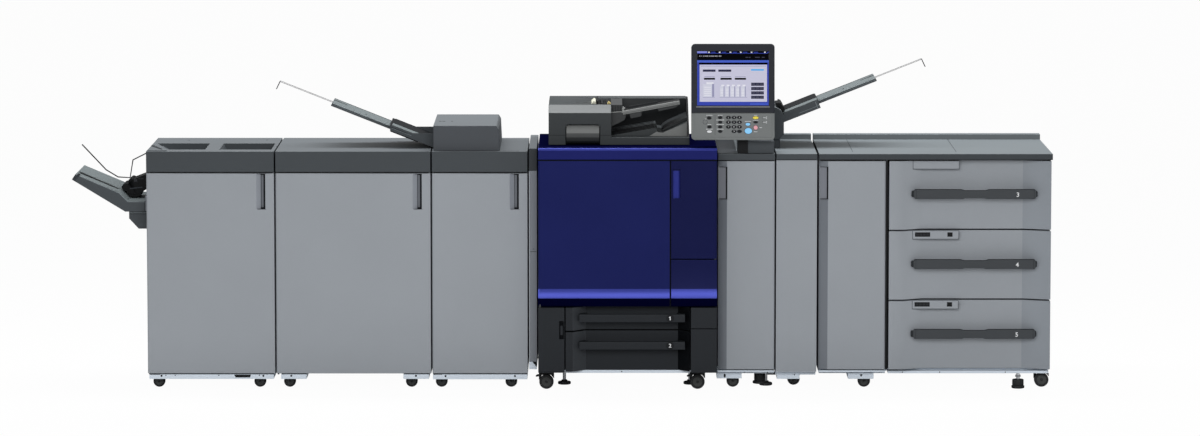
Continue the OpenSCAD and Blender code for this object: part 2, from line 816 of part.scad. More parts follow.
engine_ends = [31, 55, 49];
function engine_drawer_z0(i) = i == 0 ? engine_drawer_seam + engine_seam_h / 2 : engine_z0 + door_gap;
function engine_drawer_z1(i) = i == 0 ? engine_base_top : engine_drawer_seam - engine_seam_h / 2;
function engine_ledge_z(i) = engine_drawer_z0(i) + engine_ledge_h;
module engine_drawer_front(i) {
    color([0.18, 0.2, 0.21]) placed() translate([engine_drawers_x, -engine_front, 0])
        drawer_front(engine_drawers_w, engine_front_t, engine_recess, engine_ends,
            engine_drawer_z0(i), engine_drawer_z1(i));
}
module engine_drawer_handle(i) {
    zc = i == 0 ? engine_drawer_seam + engine_handle_up : engine_drawer_seam - engine_handle_down;
    color([0.2, 0.21, 0.23]) placed() translate([engine_drawers_x, -engine_front, 0])
        drawer_handle(engine_drawers_w, engine_front_t, engine_recess, engine_ends,
            engine_handle_ends[0], engine_drawers_w - engine_handle_ends[1], zc, engine_handle_h);
}
module engine_drawer_tub(i) {
    x0 = engine_drawers_x + tub_side_gap;
    x1 = engine_drawers_x + engine_drawers_w - tub_side_gap;
    color([0.55, 0.57, 0.6]) placed() tub(x0, x1, -engine_front + engine_front_t,
        engine_cavity_back - 15, engine_drawer_z0(i) + engine_tub_z, engine_drawer_z1(i) - engine_headroom,
        engine_ledge_z(i));
}

/* ---- document feeder ---- */

// Head, flat base and rear wall in one moulding, hinged along its lower rear edge
module document_feeder_body() {
    top = engine_h + adf_h;
    color([0.22, 0.24, 0.25]) placed() difference() {
        union() {
            block(adf_x, adf_x + adf_w, adf_y, adf_back, adf_z, adf_z + adf_base_h);
            push_x(adf_x, adf_x + adf_head_w) polygon([[adf_y, adf_z], [adf_y, top - adf_chamfer_h],
                [adf_y + adf_chamfer_d, top], [adf_back, top], [adf_back, adf_z]]);
            block(adf_x, adf_x + adf_w - 8, adf_back - adf_wall, adf_back, adf_z, top);
        }
        block(adf_x + pocket_x, adf_x + pocket_x + pocket_w, adf_y - 1, adf_y + pocket_d,
            adf_z - 1, adf_z + pocket_h);
        push_x(adf_x - 1, adf_x + adf_w + 1) difference() {
            translate([adf_hinge_y, adf_z - 1]) square([hinge_inset + 1, hinge_inset + 1]);
            translate([adf_hinge_y, adf_hinge_z]) circle(hinge_inset);
        }
        for (x = hinge_lugs()) {
            block(x - door_gap, x + hinge_lug_w + door_gap, adf_hinge_y - hinge_inset - slam_gap,
                adf_back + 1, adf_z - 1, adf_hinge_z + hinge_inset + slam_gap);
            translate([x - lug_pin_len - 2, adf_hinge_y, adf_hinge_z]) rotate([0, 90, 0])
                cylinder(r = pin_r + pin_clear, h = hinge_lug_w + 2 * lug_pin_len + 4);
        }
    }
}

// Output tray on the base, and the input tray above it
module document_feeder_tray() {
    x0 = adf_x + adf_head_w;
    x1 = adf_x + adf_w - 10;
    y0 = adf_y + adf_chamfer_d;
    y1 = adf_back - adf_wall;
    z = adf_z + adf_base_h;
    wedge = 20;
    u = z + input_tray_h;
    color([0.25, 0.27, 0.28]) placed() {
        push_y(y0, y1) polygon([[x0, z], [x1, z], [x1, z + 26 + output_ramp_h], [x1 - output_ramp_len, z + 26],
            [x1 - output_ramp_len - wedge, z + 6 + output_tray_rise], [x0, z + 6]]);
        push_y(y0, y1) polygon([[x0, u], [x1 - 2 * wedge, u + input_tray_rise],
            [x1 - 2.2 * wedge, u + input_tray_rise + input_tray_t], [x0, u + input_tray_t]]);
    }
}

/* ---- control panel ---- */

module on_panel() {
    translate([panel_x, panel_y, panel_z]) rotate([-panel_lean, 0, 0]) children();
}

// Rounded plate in the panel's own plane
module panel_plate(x0, x1, z0, z1, y0, y1, r) {
    push_y(y0, y1) hull() for (x = [x0 + r, x1 - r], z = [z0 + r, z1 - r]) translate([x, z]) circle(r, $fn = 32);
}

module panel_case() {
    boss_x = post_x + post_w / 2 - panel_x - boss_w / 2;
    color([0.24, 0.25, 0.26]) placed() on_panel() difference() {
        union() {
            panel_plate(0, panel_w, 0, panel_h, 0, panel_t, panel_corner);
            block(panel_back_inset, panel_w - panel_back_inset, panel_t, panel_t + panel_back_t,
                boss_z0, panel_h - 2 * panel_back_inset);
            block(boss_x, boss_x + boss_w, panel_t, panel_t + boss_d, boss_z0, boss_z0 + boss_h);
        }
        block(screen_edge, panel_w - screen_edge, -1, screen_sink, screen_z0, screen_z1);
        block(key_edge, panel_w - key_edge, -1, key_sink, key_edge, key_field_h);
        block(post_x - panel_x - door_gap, post_x - panel_x + post_w + door_gap,
            pivot_back - post_head_r - slam_gap, panel_t + boss_d + 1,
            boss_z0 - 1, pivot_up + post_head_r + slam_gap);
        translate([post_x - panel_x - panel_pin_len - 2, pivot_back, pivot_up]) rotate([0, 90, 0])
            cylinder(r = pin_r + pin_clear, h = post_w + 2 * panel_pin_len + 4);
    }
}

module panel_screen() {
    color([0.7, 0.72, 0.88]) placed() on_panel() block(screen_edge + seat_gap, panel_w - screen_edge - seat_gap,
        1.5, screen_sink, screen_z0 + seat_gap, screen_z1 - seat_gap);
}

module panel_keys() {
    color([0.45, 0.47, 0.48]) placed() on_panel() block(key_edge + seat_gap, panel_w - key_edge - seat_gap,
        0.5, key_sink, key_edge + seat_gap, key_field_h - seat_gap);
}

// Post with a round head that carries the panel, and the low box beside it
module panel_stand() {
    head = post_head_r;
    color([0.3, 0.32, 0.33]) placed() {
        block(post_x + post_w, conveyor_x + conveyor_w - stand_side, stand_front, post_foot_d,
            board_top, board_top + stand_h);
        difference() {
            push_x(post_x, post_x + post_w) union() {
                polygon([[pivot_y - head, pivot_z], [pivot_y + head, pivot_z],
                    [post_foot_d, board_top + post_foot_h], [post_foot_d, board_top], [stand_front, board_top]]);
                translate([pivot_y, pivot_z]) circle(head);
            }
            translate([post_x - 1, pivot_y, pivot_z]) rotate([0, 90, 0]) cylinder(r = pin_r, h = post_w + 2);
        }
    }
}

/* ---- right units ---- */

module right_housing(x, w) { block(x, x + w, housing_y, feeder_d, right_z0, board_z); }
module sill(x, w) { block(x, x + w, rail_front, housing_y, right_z0, right_z0 + sill_t); }

module conveyor_housing() {
    color([0.57, 0.6, 0.63]) placed() {
        right_housing(conveyor_x, conveyor_w);
        sill(conveyor_x, conveyor_w);
    }
}
module conveyor_door() {
    color([0.59, 0.61, 0.63]) placed() from_right(conveyor_x + conveyor_w)
        strip_door(conveyor_w, feeder_z0, feeder_door_z1);
}
module bridge_unit() {
    color([0.58, 0.6, 0.62]) placed()
        block(bridge_x, bridge_x + bridge_w, 0, feeder_d, right_z0, board_z);
}

module board(x0, x1) {
    block(x0, x1, -rail_front, feeder_d, board_z, board_top);
    block(x0, x1, feeder_d - lip_d, feeder_d, board_top, board_top + lip_h);
}
module top_boards() {
    color([0.36, 0.38, 0.4]) placed() {
        board(conveyor_x, conveyor_x + conveyor_w);
        board(bridge_x, bridge_x + bridge_w);
        board(feeder_x, line_end);
    }
}

module bypass_body() {
    x0 = bypass_x - bypass_w;
    z = bypass_z;
    color([0.28, 0.3, 0.31]) placed() {
        block(x0 + 20, bypass_x - 16, bypass_front + 20, bypass_front + bypass_d - 20, board_top, z + 1);
        push_y(bypass_front, bypass_front + bypass_d)
            polygon([[x0, z], [bypass_x - 0.1 * bypass_w, z], [bypass_x, z + 0.15 * bypass_h],
                [bypass_x, z + 0.74 * bypass_h], [bypass_x - 0.06 * bypass_w, z + 0.9 * bypass_h],
                [bypass_x - 0.17 * bypass_w, z + bypass_h], [x0, z + bypass_h]]);
    }
}
module at_bypass_tray() { placed() translate([bypass_x, bypass_tray_y, 0]) mirror([1, 0, 0]) children(); }
module bypass_tray() {
    z = bypass_z + bypass_tray_h;
    tip_z = z + bypass_tray_len * tan(tray_slope);
    end = bypass_plate_h * sin(tray_slope);
    color([0.28, 0.3, 0.31]) at_bypass_tray() paper_tray(z, bypass_tray_len - end, bypass_lift)
        polygon([[0, z], [0, z + bypass_plate_h / cos(tray_slope)],
            [end - bypass_tray_len, tip_z + bypass_plate_h * cos(tray_slope)], [-bypass_tray_len, tip_z]]);
}
module bypass_extension() {
    color([0.42, 0.44, 0.45]) at_bypass_tray()
        tray_extension(bypass_z + bypass_tray_h, bypass_tray_len, bypass_lift,
            bypass_extension_len, bypass_wire_len);
}

module feeder_side_housing() {
    color([0.57, 0.6, 0.63]) placed() {
        right_housing(feeder_x, feeder_door_w + feeder_mid_gap - 6);
        sill(feeder_x, feeder_door_w);
    }
}
module feeder_door() {
    color([0.59, 0.61, 0.63]) placed() from_right(feeder_x + feeder_door_w)
        strip_door(feeder_door_w, feeder_z0, feeder_door_z1);
}
module feeder_cabinet() {
    x0 = feeder_drawers_x;
    x1 = feeder_x + feeder_w;
    color([0.5, 0.52, 0.55]) placed() {
        difference() {
            block(x0 - cabinet_side / 2, x1, cabinet_y, feeder_d, right_z0, board_z);
            for (i = [0 : feeder_drawer_count - 1])
                block(x0 + cabinet_side, x1 - cabinet_side, cabinet_y - 1, cabinet_back,
                    feeder_drawer_z(i) + 6, feeder_drawer_z(i) + feeder_drawer_h - 6);
        }
        for (i = [0 : feeder_drawer_count - 1])
            ledges(x0 + cabinet_side, x1 - cabinet_side, cabinet_y, cabinet_back,
                feeder_drawer_z(i) + feeder_ledge_h);
    }
}

/* ---- hinges, rails, casters and feet ---- */

// Lugs on the engine's top that hold the document feeder's pins
module hinge_lug(x) {
    y = adf_hinge_y;
    push_x(x, x + hinge_lug_w) union() {
        translate([y - hinge_lug_r, engine_h]) square([2 * hinge_lug_r, adf_hinge_z - engine_h]);
        translate([y, adf_hinge_z]) circle(hinge_lug_r);
    }
    translate([x - lug_pin_len, y, adf_hinge_z]) rotate([0, 90, 0])
        cylinder(r = pin_r, h = hinge_lug_w + 2 * lug_pin_len);
}

// A pair of pins for a door: pivot in plan, and the door's lower and upper edge
module pin_pair(x, y, z0, z1) {
    translate([x, y, z0 - door_gap]) cylinder(r = pin_r, h = door_gap + pin_depth - 1);
    translate([x, y, z1 - pin_depth + 1]) cylinder(r = pin_r, h = door_gap + pin_depth - 1);
}

module hinge_pins() {
    p = pivot_inset;
    color([0.75, 0.76, 0.78]) placed() {
        for (x = [finisher_x, folder_x, inserter_x]) pin_pair(x + p, p, finishing_door_z0, finishing_door_z1);
        pin_pair(engine_x + p, p - engine_front, engine_door_z0, engine_cover_z - door_gap);
        pin_pair(engine_x + engine_w - p, p - engine_front, small_door_z0, engine_cover_z - door_gap);
        pin_pair(conveyor_x + conveyor_w - p, p, feeder_z0, feeder_door_z1);
        pin_pair(feeder_x + feeder_door_w - p, p, feeder_z0, feeder_door_z1);
        for (x = hinge_lugs()) hinge_lug(x);
        translate([post_x - panel_pin_len, pivot_y, pivot_z]) rotate([0, 90, 0])
            cylinder(r = pin_r, h = post_w + 2 * panel_pin_len);
    }
}

// Rail under a unit, as wide as asked
module rail(x, w, y0, y1, top, h) { block(x, x + w, y0, y1, top - h, top); }

// Block between two units where they are docked
module docking_block(x0, x1) {
    block(x0, x1, docking_y, docking_y + docking_d, docking_z, docking_z + docking_h);
}

module base_rails() {
    d = feeder_d;
    color([0.8, 0.84, 0.88]) placed() {
        rail(finisher_x, finisher_w, rail_front, finishing_d, finishing_z0, rail_h);
        rail(folder_x, folder_w, rail_front, finishing_d, finishing_z0, rail_h);
        rail(inserter_x, inserter_w, rail_front, finishing_d, finishing_z0, rail_h);
        for (x = [conveyor_x, feeder_x + feeder_rail_x])
            rail(x, short_rail_w, right_rail_front, d, right_z0, conveyor_rail_h);
        rail(bridge_x, bridge_w, right_rail_front, d, right_z0, bridge_rail_h);
        rail(feeder_drawers_x, feeder_drawers_w, right_rail_front, d, right_z0, cabinet_rail_h);
        rail(engine_x, engine_w, engine_rail_front, engine_back, engine_z0, engine_rail_h);
        for (x = [folder_x, inserter_x, relay_x, engine_x, conveyor_x, bridge_x]) docking_block(x - unit_gap, x);
        docking_block(feeder_x - feeder_gap, feeder_x);
    }
}

// A caster turned along the line: wheel on the floor, and a fork up to the rail
module caster(x, y, r, top) {
    translate([x, y - caster_w / 2, r]) rotate([-90, 0, 0]) cylinder(r = r, h = caster_w);
    block(x - 0.6 * r, x + 0.6 * r, y - caster_w / 2, y + caster_w / 2, 1.8 * r, top);
}

module casters() {
    big = big_caster_r;
    color([0.12, 0.12, 0.13]) placed() {
        for (y = [caster_inset, finishing_d - caster_inset]) for (x = [finisher_x + 41, folder_x - 76,
                folder_x + 52, inserter_x - 92, inserter_x + 37, relay_x - 78])
            caster(x, y, finishing_caster_r, finishing_z0 - rail_h);
        for (y = [big + 5, engine_back - 2 * big]) for (x = [engine_x + 34, conveyor_x - 86])
            caster(x, y, big, engine_z0 - engine_rail_h);
        for (y = [caster_inset, feeder_d - caster_inset]) {
            caster(conveyor_x + 67, y, caster_r, right_z0 - conveyor_rail_h);
            caster(feeder_x + 200, y, caster_r, right_z0 - conveyor_rail_h);
            caster(bridge_x + 82, y + 2 * big, caster_r, right_z0 - bridge_rail_h);
            caster(feeder_x + feeder_w - 28, y, big, right_z0 - cabinet_rail_h);
        }
    }
}

module levelling_foot(x, y, top) {
    translate([x, y, 0]) cylinder(r1 = foot_r, r2 = 0.7 * foot_r, h = foot_t);
    translate([x, y, foot_t]) cylinder(r = foot_stem_r, h = top - foot_t);
}
module levelling_feet() {
    rear = feeder_d - 60;
    color([0.2, 0.2, 0.22]) placed() {
        for (y = [179, engine_back - 110]) for (x = [engine_x + 110, engine_x + engine_w - 110])
            levelling_foot(x, y, engine_z0 - engine_rail_h);
        for (y = [55, rear]) levelling_foot(feeder_x + feeder_w - 132, y, right_z0 - cabinet_rail_h);
        for (y = [148, rear]) levelling_foot(conveyor_x + conveyor_w - 32, y, right_z0);
    }
}

finisher_housing();
finisher_cap();
finisher_door();
exit_tray();
exit_rollers();
exit_wires();
exit_box();
folder_housing();
folder_cap();
folder_door();
inserter_housing();
inserter_cap();
inserter_door();
cover_inserter_body();
cover_inserter_tray();
cover_inserter_extension();
narrow_relay();
engine_core();
engine_top_cover();
engine_door();
engine_small_door();
engine_lower_panel();
engine_base();
engine_base_panels();
document_feeder_body();
document_feeder_tray();
panel_case();
panel_screen();
panel_keys();
panel_stand();
conveyor_housing();
conveyor_door();
bridge_unit();
top_boards();
bypass_body();
bypass_tray();
bypass_extension();
feeder_side_housing();
feeder_door();
feeder_cabinet();
engine_drawer_front(0);  // drawer_1_front
engine_drawer_handle(0);  // drawer_1_handle
engine_drawer_tub(0);  // drawer_1_tub
engine_drawer_front(1);  // drawer_2_front
engine_drawer_handle(1);  // drawer_2_handle
engine_drawer_tub(1);  // drawer_2_tub
feeder_front(2);  // drawer_3_front
feeder_handle(2);  // drawer_3_handle
feeder_tub(2);  // drawer_3_tub
feeder_front(1);  // drawer_4_front
feeder_handle(1);  // drawer_4_handle
feeder_tub(1);  // drawer_4_tub
feeder_front(0);  // drawer_5_front
feeder_handle(0);  // drawer_5_handle
feeder_tub(0);  // drawer_5_tub
hinge_pins();
base_rails();
casters();
levelling_feet();
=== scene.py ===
"""Digital production printing line: the finish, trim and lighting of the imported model.

The model stands on the floor with the operator at negative Y. Sizes are written in
millimetres of the line's own frame: X runs right from the finisher's left side, Y runs
in from the front of the grey units, and Z is up from the floor.
"""

import json
import logging
import math
from contextlib import contextmanager
from dataclasses import dataclass, field, replace
from enum import Enum
from typing import Any, Callable, Iterator, Sequence, Union

import bpy
from mathutils import Matrix, Vector

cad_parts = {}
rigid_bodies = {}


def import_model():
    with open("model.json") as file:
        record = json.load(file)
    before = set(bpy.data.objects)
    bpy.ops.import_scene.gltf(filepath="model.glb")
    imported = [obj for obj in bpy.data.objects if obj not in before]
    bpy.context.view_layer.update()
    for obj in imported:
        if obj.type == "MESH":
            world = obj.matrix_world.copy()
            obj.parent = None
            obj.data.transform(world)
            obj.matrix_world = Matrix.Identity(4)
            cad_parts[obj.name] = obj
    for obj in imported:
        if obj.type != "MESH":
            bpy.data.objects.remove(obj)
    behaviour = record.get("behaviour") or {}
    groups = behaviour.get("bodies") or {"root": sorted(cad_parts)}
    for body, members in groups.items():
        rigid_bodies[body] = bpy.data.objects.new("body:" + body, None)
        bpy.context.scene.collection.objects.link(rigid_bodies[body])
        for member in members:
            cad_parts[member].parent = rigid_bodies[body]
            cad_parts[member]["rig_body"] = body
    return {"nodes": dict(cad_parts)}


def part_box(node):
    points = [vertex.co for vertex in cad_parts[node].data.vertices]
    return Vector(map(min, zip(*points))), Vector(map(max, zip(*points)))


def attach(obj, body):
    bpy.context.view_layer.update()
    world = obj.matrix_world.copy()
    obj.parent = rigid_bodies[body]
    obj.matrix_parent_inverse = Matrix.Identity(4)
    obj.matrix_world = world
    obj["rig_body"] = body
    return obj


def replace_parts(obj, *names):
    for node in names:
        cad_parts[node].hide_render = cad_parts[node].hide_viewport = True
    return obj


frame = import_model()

log = logging.getLogger("printing_line")
logging.basicConfig(level=logging.INFO, format="%(message)s")

Piece = bpy.types.Object
Span = tuple[float, float]
Spot = tuple[float, float, float]
Colour = tuple[int, int, int]
Box = tuple[Span, Span, Span]
Outline = Sequence[Span]
Value = Union["Wire", float, tuple]
FaceTest = Callable[[Vector, Vector], bool]
MM = 0.001


# ---------------- frame of the line


@dataclass(frozen=True)
class LineFrame:
    """Turns millimetres along the line into the row's metres."""

    x0: float
    y0: float

    def at(self, x: float, y: float, z: float) -> Vector:
        """Return the row's point for a point of the line."""
        return Vector((self.x0 + x * MM, self.y0 + y * MM, z * MM))

    def back(self, point: Vector) -> Vector:
        """Return the line's point, in millimetres, for a point of the row."""
        return Vector((point.x - self.x0, point.y - self.y0, point.z)) / MM


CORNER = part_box("finisher_cap")[0]
LINE = LineFrame(CORNER[0], CORNER[1])


# ---------------- shader expressions


class Wire:
    """A shader socket that takes part in arithmetic."""

    def __init__(self, graph: "Graph", socket: bpy.types.NodeSocket) -> None:
        """Hold the socket and the graph it belongs to."""
        self.graph, self.socket = graph, socket

    def _maths(self, operation: str, *values: Value) -> "Wire":
        """Return the result of one Math node."""
        return self.graph.node("ShaderNodeMath", {"operation": operation}, dict(enumerate(values)))

    def __add__(self, other: Value) -> "Wire":
        """Return self + other."""
        return self._maths("ADD", self, other)

    def __sub__(self, other: Value) -> "Wire":
        """Return self - other."""
        return self._maths("SUBTRACT", self, other)

    def __rsub__(self, other: Value) -> "Wire":
        """Return other - self."""
        return self._maths("SUBTRACT", other, self)

    def __mul__(self, other: Value) -> "Wire":
        """Return self * other."""
        return self._maths("MULTIPLY", self, other)

    __radd__, __rmul__ = __add__, __mul__

    def clamped(self) -> "Wire":
        """Return the value kept between 0 and 1."""
        return self.graph.node("ShaderNodeClamp", {}, {0: self})


class Graph:
    """The node tree of one material or world."""

    def __init__(self, tree: bpy.types.NodeTree) -> None:
        """Take a node tree and empty it."""
        self.tree = tree
        tree.nodes.clear()

    def node(self, kind: str, settings: dict[str, Any], sockets: dict[Any, Value], out: Any = 0) -> Wire:
        """Add one node.

        Args:
            kind: Blender's name of the node type.
            settings: properties of the node, set before its sockets.
            sockets: values or wires by socket name or number.
            out: name or number of the output that is returned.

        Returns:
            The chosen output as a wire.
        """
        made = self.tree.nodes.new(kind)
        for key, value in settings.items():
            setattr(made, key, value)
        for key, value in sockets.items():
            if isinstance(value, Wire):
                self.tree.links.new(value.socket, made.inputs[key])
            else:
                made.inputs[key].default_value = value
        return Wire(self, made.outputs[out])

    def end(self, shader: Wire, kind: str = "ShaderNodeOutputMaterial") -> None:
        """Join a shader to the output of the material or world."""
        last = self.tree.nodes.new(kind)
        self.tree.links.new(shader.socket, last.inputs["Surface"])

    def ray(self, kind: str) -> Wire:
        """Return 1 for rays of one kind, such as Is Camera Ray, and 0 for the others."""
        return self.node("ShaderNodeLightPath", {}, {}, kind)

    def noise(self, scale: float, detail: float = 2.0) -> Wire:
        """Return a noise value of about 0.5 on object coordinates."""
        point = self.node("ShaderNodeTexCoord", {}, {}, "Object")
        sockets = {"Vector": point, "Scale": scale, "Detail": detail}
        return self.node("ShaderNodeTexNoise", {}, sockets, "Fac")

    def mixed(self, amount: Value, first: Value, second: Value) -> Wire:
        """Return a colour between two colours."""
        settings = {"data_type": "RGBA", "clamp_factor": True}
        return self.node("ShaderNodeMix", settings, {0: amount, 6: first, 7: second}, 2)


# ---------------- finishes


@dataclass(frozen=True)
class Grain:
    """Fine relief of a surface: how dense, how strong and how deep it is."""

    scale: float
    strength: float
    height: float


class Surface(Enum):
    """How a surface was made, which sets its grain."""

    PAINT = Grain(420.0, 0.10, 0.00030)
    PLASTIC = Grain(900.0, 0.16, 0.00025)
    METAL = Grain(300.0, 0.05, 0.00020)
    RUBBER = Grain(700.0, 0.25, 0.00040)
    PRINT = Grain(900.0, 0.03, 0.00010)
    LAMP = Grain(900.0, 0.01, 0.00005)


def linear(colour: Colour) -> tuple[float, ...]:
    """Return a colour written as 0 to 255 in linear light."""
    parts = [c / 255 for c in colour]
    return tuple(p / 12.92 if p <= 0.04045 else ((p + 0.055) / 1.055) ** 2.4 for p in parts) + (1.0,)


@dataclass(frozen=True)
class Finish:
    """One surface finish and the node material that gives it."""

    name: str
    colour: Colour
    surface: Surface = Surface.PAINT
    slot: str = "panel_grey"
    rough: float = 0.5
    specular: float = 0.35
    metallic: float = 0.0
    shade: float = 0.05
    glow: float = 0.0
    cloud_scale: float = 3.1
    cloud_share: float = 0.7
    speck_scale: float = 0.35
    cloud_gloss: float = 0.10
    speck_gloss: float = 0.06

    def tinted(self, name: str, colour: Colour, **changes: Any) -> "Finish":
        """Return this finish in another colour."""
        return replace(self, name=name, colour=colour, **changes)

    def material(self) -> bpy.types.Material:
        """Return the finish's material, made the first time it is asked for."""
        made = bpy.data.materials.get("finish_" + self.name)
        if made is None:
            made = bpy.data.materials.new("finish_" + self.name)
            made.use_nodes = True
            self._wire(Graph(made.node_tree))
        return made

    def _wire(self, graph: Graph) -> None:
        """Build the nodes: slow colour drift, uneven gloss and a fine grain in relief."""
        grain = self.surface.value
        tone = linear(self.colour)[:3]
        dark = tuple(c * (1 - self.shade) for c in tone) + (1.0,)
        light = tuple(min(1.0, c * (1 + self.shade)) for c in tone) + (1.0,)
        cloud = graph.noise(self.cloud_scale, 3.0)
        speck = graph.noise(grain.scale * self.speck_scale)
        drift = cloud * self.cloud_share + speck * (1 - self.cloud_share)
        base = self.rough - (self.cloud_gloss + self.speck_gloss) / 2
        relief = {"Strength": grain.strength, "Distance": grain.height, "Height": graph.noise(grain.scale)}
        sockets: dict[Any, Value] = {
            "Base Color": graph.mixed(drift * 2.0 - 0.5, dark, light),
            "Roughness": (cloud * self.cloud_gloss + speck * self.speck_gloss + base).clamped(),
            "Metallic": self.metallic,
            "Specular IOR Level": self.specular,
            "Normal": graph.node("ShaderNodeBump", {}, relief),
        }
        if self.glow:
            sockets["Emission Color"] = sockets["Base Color"]
            sockets["Emission Strength"] = self.glow
        graph.end(graph.node("ShaderNodeBsdfPrincipled", {}, sockets))


PANEL = Finish("panel_grey", (152, 157, 163), rough=0.48, specular=0.30, shade=0.035)
PANEL_SHADE = PANEL.tinted("panel_shade", (112, 117, 124))
# painted shade: a darker copy of the panel grey for the drawers' flanks that face left, away from the light
FLANK_SHADE = PANEL.tinted("drawer_flank", (140, 146, 153))
PLATE_LINE = PANEL.tinted("plate_line", (84, 88, 93))
# painted shade: the relay's front is darkened for the shadow of the engine beside it
RELAY_SHADE = PANEL.tinted("relay_grey", (124, 128, 135))
# painted shade: a darker grey for the floor of the narrow doors' recesses
STRIP_GRIP_SHADE = PANEL.tinted("strip_grip", (124, 127, 135))
# mid grey for the relay's screw, also painted shade on the floor of the doors' hand recesses
GRIP_GREY_AND_SHADE = PANEL.tinted("grip", (106, 110, 117))
# painted light: the lit slope of the hand recesses
GRIP_SLOPE_LIT = PANEL.tinted("grip_slope", (152, 157, 165))
GRIP_SHADE = PANEL.tinted("grip_shade", (72, 76, 82), rough=0.6)
# painted shade: near-black for the deep right side of the hand recesses
GRIP_DEEP_SHADE = PANEL.tinted("grip_dark", (24, 26, 30), rough=0.6, specular=0.1)
CAP = Finish("cap_grey", (66, 71, 75), Surface.PLASTIC, "cap_grey", rough=0.5, specular=0.2)
RELAY_CAP = CAP.tinted("relay_cap", (50, 54, 58))
# painted light: a lighter copy of the cap grey for upward faces, standing for the light that falls on the
# tops
CAP_TOP_LIT = CAP.tinted("cap_top", (98, 103, 107))
INSERTER = CAP.tinted("inserter_grey", (73, 77, 82))
# painted light: a lighter copy of the cap grey for the boards' upward faces
BOARD_TOP_LIT = CAP.tinted("board_top", (116, 123, 127))
ADF = CAP.tinted("feeder_cover", (56, 60, 62))
ADF_TOP = ADF.tinted("feeder_top", (58, 62, 64))
# painted shade: a mid grey for the pocket cover's faces that turn downward
ADF_HALF_SHADE = ADF.tinted("feeder_edge", (88, 90, 90))
# a darker feeder grey; also painted shade on the trays' back wall, the side guides and the pocket cover's
# underside
ADF_DARK_AND_SHADE = ADF.tinted("feeder_wall", (40, 43, 45))
ADF_MID = ADF.tinted("feeder_guide", (60, 62, 63))
# a pale grey for the ramp's front and the input rail; also painted light on the pocket cover and the feed
# guide's upward faces
ADF_PALE_AND_LIT = ADF.tinted("feeder_light", (128, 130, 129))
# painted light: a lighter grey for the head's upward-facing chamfer
ADF_CHAMFER_LIT = ADF.tinted("feeder_chamfer", (114, 117, 118))
CREAM = ADF.tinted("lever_cream", (216, 216, 198))
AMBER = ADF.tinted("latch_amber", (176, 160, 104))
TRAY = CAP.tinted("tray_grey", (70, 75, 79), slot="tray_grey")
# painted light: a lighter copy of the tray grey for faces seen from above
TRAY_TOP_LIT = TRAY.tinted("tray_top", (104, 112, 114), surface=Surface.PRINT, shade=0.02)
# painted highlight: a light grey for thin lines along the trays' edges, where the edges catch the light
TRAY_EDGE_HIGHLIGHT = TRAY.tinted("tray_edge", (128, 136, 140), surface=Surface.PRINT)
# painted shade: near-black for tray floors, guides and strips that lie in shade
TRAY_SHADE = TRAY.tinted("tray_deep", (24, 26, 29), specular=0.05)
# black for black parts; also painted shade where it fills gaps, lines recesses and covers faces that lie in
# shadow
BLACK_AND_SHADE = Finish("black_plastic", (20, 21, 23), Surface.PLASTIC, "black_plastic", rough=0.5, specular=0.12)
RUBBER_BLACK = BLACK_AND_SHADE.tinted("rubber_roller", (30, 31, 33), surface=Surface.RUBBER, rough=0.7)
BLUE = Finish("engine_blue", (22, 29, 86), slot="engine_blue", rough=0.30, specular=0.12, metallic=0.35)
NAVY = BLUE.tinted("engine_navy", (6, 7, 40), specular=0.0, metallic=0.0, rough=0.7)
BLUE_SIDE = BLUE.tinted("engine_side", (30, 34, 78), metallic=0.1)
BLUE_GRIP = BLUE.tinted("engine_grip", (44, 52, 132))
REAR = Finish("rear_cover", (60, 64, 70), slot="base_dark", rough=0.55, specular=0.2)
REAR_DARK = REAR.tinted("rear_louvre", (34, 36, 40))
# lighter blue: partly a lighter stripe on the doors' ridge, partly painted highlight on upward slopes and the
# top cover's front bevel
RIDGE_STRIPE_AND_HIGHLIGHT = BLUE.tinted("ridge_blue", (54, 62, 146))
BAND = BLUE.tinted("engine_band", (24, 30, 96))
# painted shade: a darker copy of the engine blue for the small door at the right and the lower panel, where
# the light falls off
BLUE_SHADED = BLUE.tinted("engine_low_blue", (16, 21, 68))
# painted shade: near-black blue for the downward faces under the doors' ridge
UNDERCUT_SHADE = BLUE.tinted("undercut", (3, 4, 34), metallic=0.0, specular=0.0)
BASE = Finish("base_dark", (38, 41, 45), slot="base_dark", rough=0.55, specular=0.12)
# painted light: a lighter copy of the base grey for the drawer fronts' flanks that face right
BASE_FLANK_LIT = BASE.tinted("base_flank", (62, 65, 69))
BASE_PATCH = BASE.tinted("base_patch", (26, 28, 31))
# near black for seams and slots; also painted shade on flanks, the latch recess and the cabinet seen through
# the gaps
BASE_JOINT_AND_SHADE = BASE.tinted("base_deep", (11, 13, 16), specular=0.05)
HANDLE = Finish("handle_dark", (57, 61, 65), Surface.PLASTIC, "handle_dark", rough=0.42, specular=0.3)
DARK_HANDLE = HANDLE.tinted("base_handle", (37, 40, 44), specular=0.12)
# painted shade: a darker copy of the handle grey for the bars' top faces and ends
HANDLE_SHADE = HANDLE.tinted("handle_top", (44, 47, 50), specular=0.1)
